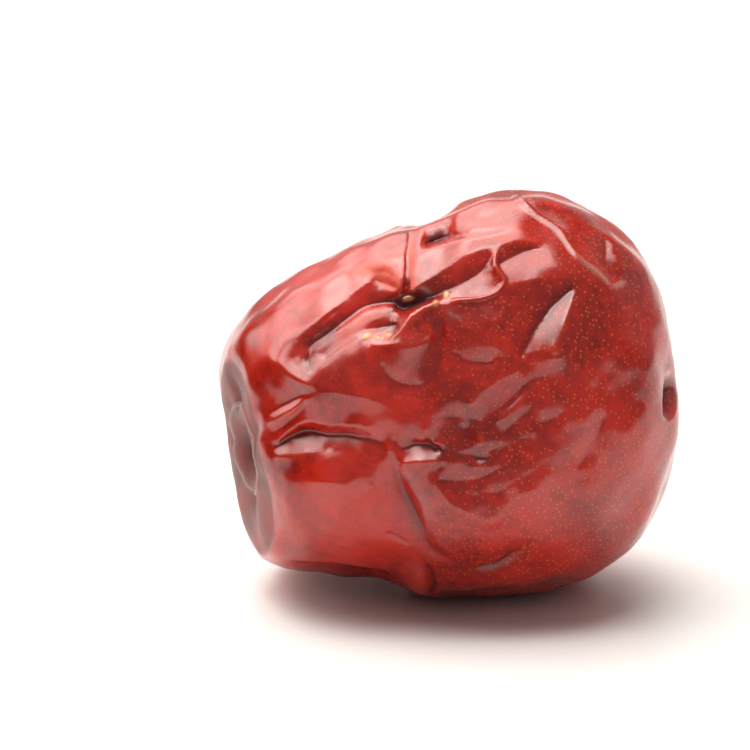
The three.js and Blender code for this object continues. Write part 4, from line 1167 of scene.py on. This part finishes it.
@dataclass
class Jujube:
    """The whole fruit: its body, its folds and the fineness of its skin.

    Each crumple is a ripple and its lift. The skin is a cube whose edges are divided by each of the
    divisions and which is then blown up, and crowd draws its points together towards the front. A
    crease is measured against the skin around it, smoothed crease_rounds times, and in crease_unit.
    """

    body: FruitBody = field(default_factory=FruitBody)
    net: CellNet = field(default_factory=CellNet)
    cap: StemCap = field(default_factory=StemCap)
    crumple: tuple[tuple[Ripple, float], ...] = ((Ripple(19, 5.0), 0.12), (Ripple(37, 1.9), 0.012))
    divisions: tuple[int, int] = (8, 16)
    crowd: float = 0.35
    crease_rounds: int = 30
    crease_unit: float = 0.25
    skin: WaxySkin = field(default_factory=WaxySkin)

    def ball(self) -> bpy.types.Object:
        """Adds a cube and divides it evenly.

        Returns:
            The cube, ready to be blown up into a ball.
        """
        bpy.ops.object.select_all(action="DESELECT")
        bpy.ops.mesh.primitive_cube_add(size=2)
        piece = bpy.context.object
        bpy.ops.object.mode_set(mode="EDIT")
        bpy.ops.mesh.select_all(action="SELECT")
        for part in self.divisions:
            bpy.ops.mesh.subdivide(number_cuts=part - 1)
        bpy.ops.object.mode_set(mode="OBJECT")
        return piece

    def ways(self, cube: Array) -> Array:
        """Turns places on the cube into directions, closer together towards the front.

        Args:
            cube: One place a row, from -1 to 1 along each edge.

        Returns:
            Directions on the page, one a row and each of length 1.
        """
        even = np.tan(cube * math.pi / 4)
        ways = even / lengths(even)[:, None]
        turn = np.arccos(np.clip(ways[:, 2], -1, 1))
        turned = turn - self.crowd * np.sin(turn)
        flat = np.maximum(np.hypot(ways[:, 0], ways[:, 1]), TINY)
        out = np.sin(turned) / flat
        return np.stack([ways[:, 0] * out, ways[:, 1] * out, np.cos(turned)], axis=1)

    def lift(self, places: Array) -> Array:
        """Adds up the crumple, the net, the folds, the pads and the pits.

        Args:
            places: Places on the unfolded body, one a row.

        Returns:
            How much the skin is lifted straight off the body at each place.
        """
        total = sum(amount * ripple.at(places) for ripple, amount in self.crumple)
        total += self.net.lift(self.body, places)
        pits = (STEM_PIT, STYLE_PIT)
        creases = [fold for pit in pits for fold in pit.folds()]
        for form in (*FRONT_FOLDS, *OTHER_FOLDS, *creases, *PADS, *pits, *(mark.pad for mark in MARKS)):
            lift = form.lift(self.body, places)
            log.debug("%s: from %.2f to %.2f mm", form.name, lift.min(), lift.max())
            total += lift
        return total

    def build(self) -> bpy.types.Object:
        """Models the skin and dresses it.

        Returns:
            The finished piece, in metres, standing on the table.
        """
        piece = self.ball()
        mesh = piece.data
        cube = np.empty(len(mesh.vertices) * 3, dtype=np.float32)
        mesh.vertices.foreach_get("co", cube)
        ways = self.ways(cube.reshape(-1, 3).astype(float))
        places = ways * self.body.reach(ways)[:, None]
        skin = places + ways * self.lift(places)[:, None]
        skin[:, 2] += BEST_SIDE.lift(places)
        off = skin[:, :1] * PAGE_RIGHT + skin[:, 1:2] * PAGE_UP + skin[:, 2:] * PAGE_OUT
        # what would sink into the table is drawn back onto it
        off *= np.where(off[:, 2] < -REST_HEIGHT, -REST_HEIGHT / off[:, 2], 1.0)[:, None]
        off[:, 2] += REST_HEIGHT
        mesh.vertices.foreach_set("co", (off * MM).astype(np.float32).ravel())
        mesh.update()
        self.mark_creases(mesh, off)
        self.mark_looks(mesh, places)
        bpy.ops.object.shade_smooth()
        piece.name = "jujube_skin"
        mesh.materials.append(self.skin.make())
        return piece

    def mark_creases(self, mesh: bpy.types.Mesh, places: Array) -> None:
        """Keeps on the mesh how far each place stands out of the skin around it, or sinks.

        Args:
            mesh: The skin's mesh.
            places: Where its points are, one a row.
        """
        edges = np.empty(len(mesh.edges) * 2, dtype=np.int32)
        mesh.edges.foreach_get("vertices", edges)
        a, b = edges.reshape(-1, 2).T
        count = np.bincount(a, minlength=len(places)) + np.bincount(b, minlength=len(places))
        normals = np.empty(len(places) * 3, dtype=np.float32)
        mesh.vertices.foreach_get("normal", normals)
        around = places.copy()
        for _ in range(self.crease_rounds):
            total = np.zeros_like(around)
            for axis in range(3):
                total[:, axis] = np.bincount(a, around[b, axis], len(places))
                total[:, axis] += np.bincount(b, around[a, axis], len(places))
            around = total / count[:, None]
        stands = ((places - around) * normals.reshape(-1, 3)).sum(axis=1)
        self.keep(mesh, "crease", stands / self.crease_unit)

    def mark_looks(self, mesh: bpy.types.Mesh, places: Array) -> None:
        """Keeps on the mesh how much of each look shows: the marks, and the cap around the stem.

        Args:
            mesh: The skin's mesh.
            places: Where its points are on the unfolded body, one a row.
        """
        shares = {look: np.zeros(len(places)) for look in Look}
        for mark in MARKS:
            shares[mark.shows] += mark.cover(self.body, places)
        for look, share in self.cap.shares(self.body, places).items():
            shares[look] += share
        for look, share in shares.items():
            self.keep(mesh, look.value, np.minimum(1, share))

    def keep(self, mesh: bpy.types.Mesh, name: str, values: Array) -> None:
        """Keeps a value for each point of the mesh, under a name that the material reads."""
        attribute = mesh.attributes.new(name, "FLOAT", "POINT")
        attribute.data.foreach_set("value", values.astype(np.float32))


@dataclass(frozen=True)
class Glow:
    """Light from one side of the room.

    It comes from towards, a direction on the page. spread holds the angles from there, in degrees,
    at which the light starts and has its full strength.
    """

    towards: tuple[float, float, float]
    spread: Place
    strength: float

    def light(self, tree: bpy.types.NodeTree, way: bpy.types.NodeSocket) -> bpy.types.NodeSocket:
        """Adds the glow's nodes.

        Args:
            tree: The room's node tree.
            way: The direction that is looked in.

        Returns:
            The light that comes from there.
        """
        u, v, w = np.array(self.towards) / np.linalg.norm(self.towards)
        middle = tuple(u * PAGE_RIGHT + v * PAGE_UP + w * PAGE_OUT)
        facing = add_node(tree, "ShaderNodeVectorMath", {"operation": "DOT_PRODUCT"}, {0: way, 1: middle})
        rim, core = (math.cos(math.radians(angle)) for angle in self.spread)
        return add_node(
            tree,
            "ShaderNodeMapRange",
            {"interpolation_type": "SMOOTHSTEP"},
            dict(enumerate((facing.outputs["Value"], rim, core, 0.0, self.strength))),
        ).outputs["Result"]


@dataclass
class Studio:
    """The pale table, the soft light and the camera. Lengths are in millimetres.

    The table runs far to the right and to the back. It ends table_front in front of the fruit and
    table_left to its left, out of the picture, so that the flanks mirror the dim room beyond it.
    The camera looks at aim, a place on the page, from far enough to see it as if drawn flat.
    """

    glows: tuple[Glow, ...] = (
        # the front of the room, the backdrop and the right side: dim
        Glow((0.25, 0.6, 0.75), (95, 45), 0.27),
        Glow((0.1, 0.1, -1), (50, 15), 0.45),
        Glow((0.78, 0.45, -0.43), (28, 10), 0.3),
        # soft lamps from the left round to overhead
        Glow((-0.8, 0.57, -0.2), (24, 8), 3.6),
        Glow((-0.5, 0.86, -0.1), (22, 8), 1.8),
        Glow((-0.1, 0.98, -0.05), (34, 20), 4.2),
        # soft lamps high in front and behind
        Glow((-0.1, 0.93, 0.36), (18, 10), 4.0),
        Glow((-0.25, 0.78, -0.56), (26, 12), 2.5),
        Glow((-0.55, 0.78, 0.32), (14, 7), 4.5),
    )
    lamp_colour: str = "fffaf4"
    backdrop_colour: str = "ffffff"
    backdrop_strength: float = 1.0
    sheet: AcrylicSheet = field(default_factory=AcrylicSheet)
    table_size: float = 4000.0
    table_front: float = 200.0
    table_left: float = 75.0
    view_width: float = 60.0
    aim: Place = (-6.0, 1.6)
    distance: float = 1200.0
    sensor: float = 36.0
    sight: float = 10000.0

    def table(self) -> bpy.types.Object:
        """Adds the table.

        Returns:
            The table, with its top at zero height.
        """
        middle = [(self.table_size / 2 - edge) * MM for edge in (self.table_left, self.table_front)]
        bpy.ops.object.select_all(action="DESELECT")
        bpy.ops.mesh.primitive_plane_add(size=self.table_size * MM, location=(*middle, 0))
        bpy.ops.object.transform_apply(location=True)
        table = bpy.context.object
        table.name = "table"
        table.data.materials.append(self.sheet.make())
        return table

    def room(self) -> None:
        """Lights the room with its glows, and shows the camera a plain white backdrop."""
        world = bpy.data.worlds.new("studio")
        world.use_nodes = True
        bpy.context.scene.world = world
        tree = world.node_tree
        tree.nodes.clear()
        way = add_node(tree, "ShaderNodeTexCoord").outputs["Generated"]
        total, *others = (glow.light(tree, way) for glow in self.glows)
        for light in others:
            total = add_node(tree, "ShaderNodeMath", {"operation": "ADD"}, {0: total, 1: light}).outputs[0]
        seen = add_node(tree, "ShaderNodeLightPath").outputs["Is Camera Ray"]
        strength = add_node(
            tree, "ShaderNodeMix", {"data_type": "FLOAT"}, {0: seen, 2: total, 3: self.backdrop_strength}
        )
        colour = add_node(
            tree,
            "ShaderNodeMix",
            {"data_type": "RGBA"},
            {0: seen, 6: linear(self.lamp_colour), 7: linear(self.backdrop_colour)},
        )
        light = add_node(
            tree,
            "ShaderNodeBackground",
            inputs={"Color": colour.outputs[2], "Strength": strength.outputs[0]},
        )
        add_node(tree, "ShaderNodeOutputWorld", inputs={"Surface": light.outputs[0]})

    def camera(self) -> None:
        """Adds the camera, square to the page."""
        target = self.aim[0] * PAGE_RIGHT + self.aim[1] * PAGE_UP + np.array([0, 0, REST_HEIGHT])
        data = bpy.data.cameras.new("camera")
        data.sensor_width = self.sensor
        data.lens = self.sensor * self.distance / self.view_width
        data.clip_end = self.sight * MM
        camera = bpy.data.objects.new("camera", data)
        bpy.context.collection.objects.link(camera)
        camera.location = Vector((target + PAGE_OUT * self.distance) * MM)
        camera.rotation_euler = Vector(-PAGE_OUT).to_track_quat("-Z", "Y").to_euler()
        bpy.context.scene.camera = camera

    def build(self) -> bpy.types.Object:
        """Sets the whole studio up.

        Returns:
            The table.
        """
        self.camera()
        self.room()
        settings = bpy.context.scene.view_settings
        settings.view_transform = "Standard"
        settings.look = "None"
        return self.table()


def main() -> None:
    """Builds the studio and the fruit, and says which body the fruit belongs to."""
    logging.basicConfig(level=logging.INFO, format="%(message)s")
    Studio().build()
    skin = Jujube().build()
    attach(skin, "root")
    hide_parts("dried_jujube")
    log.info("skin: %d faces", len(skin.data.polygons))


if __name__ == "__main__":
    main()
    bpy.context.view_layer.update()
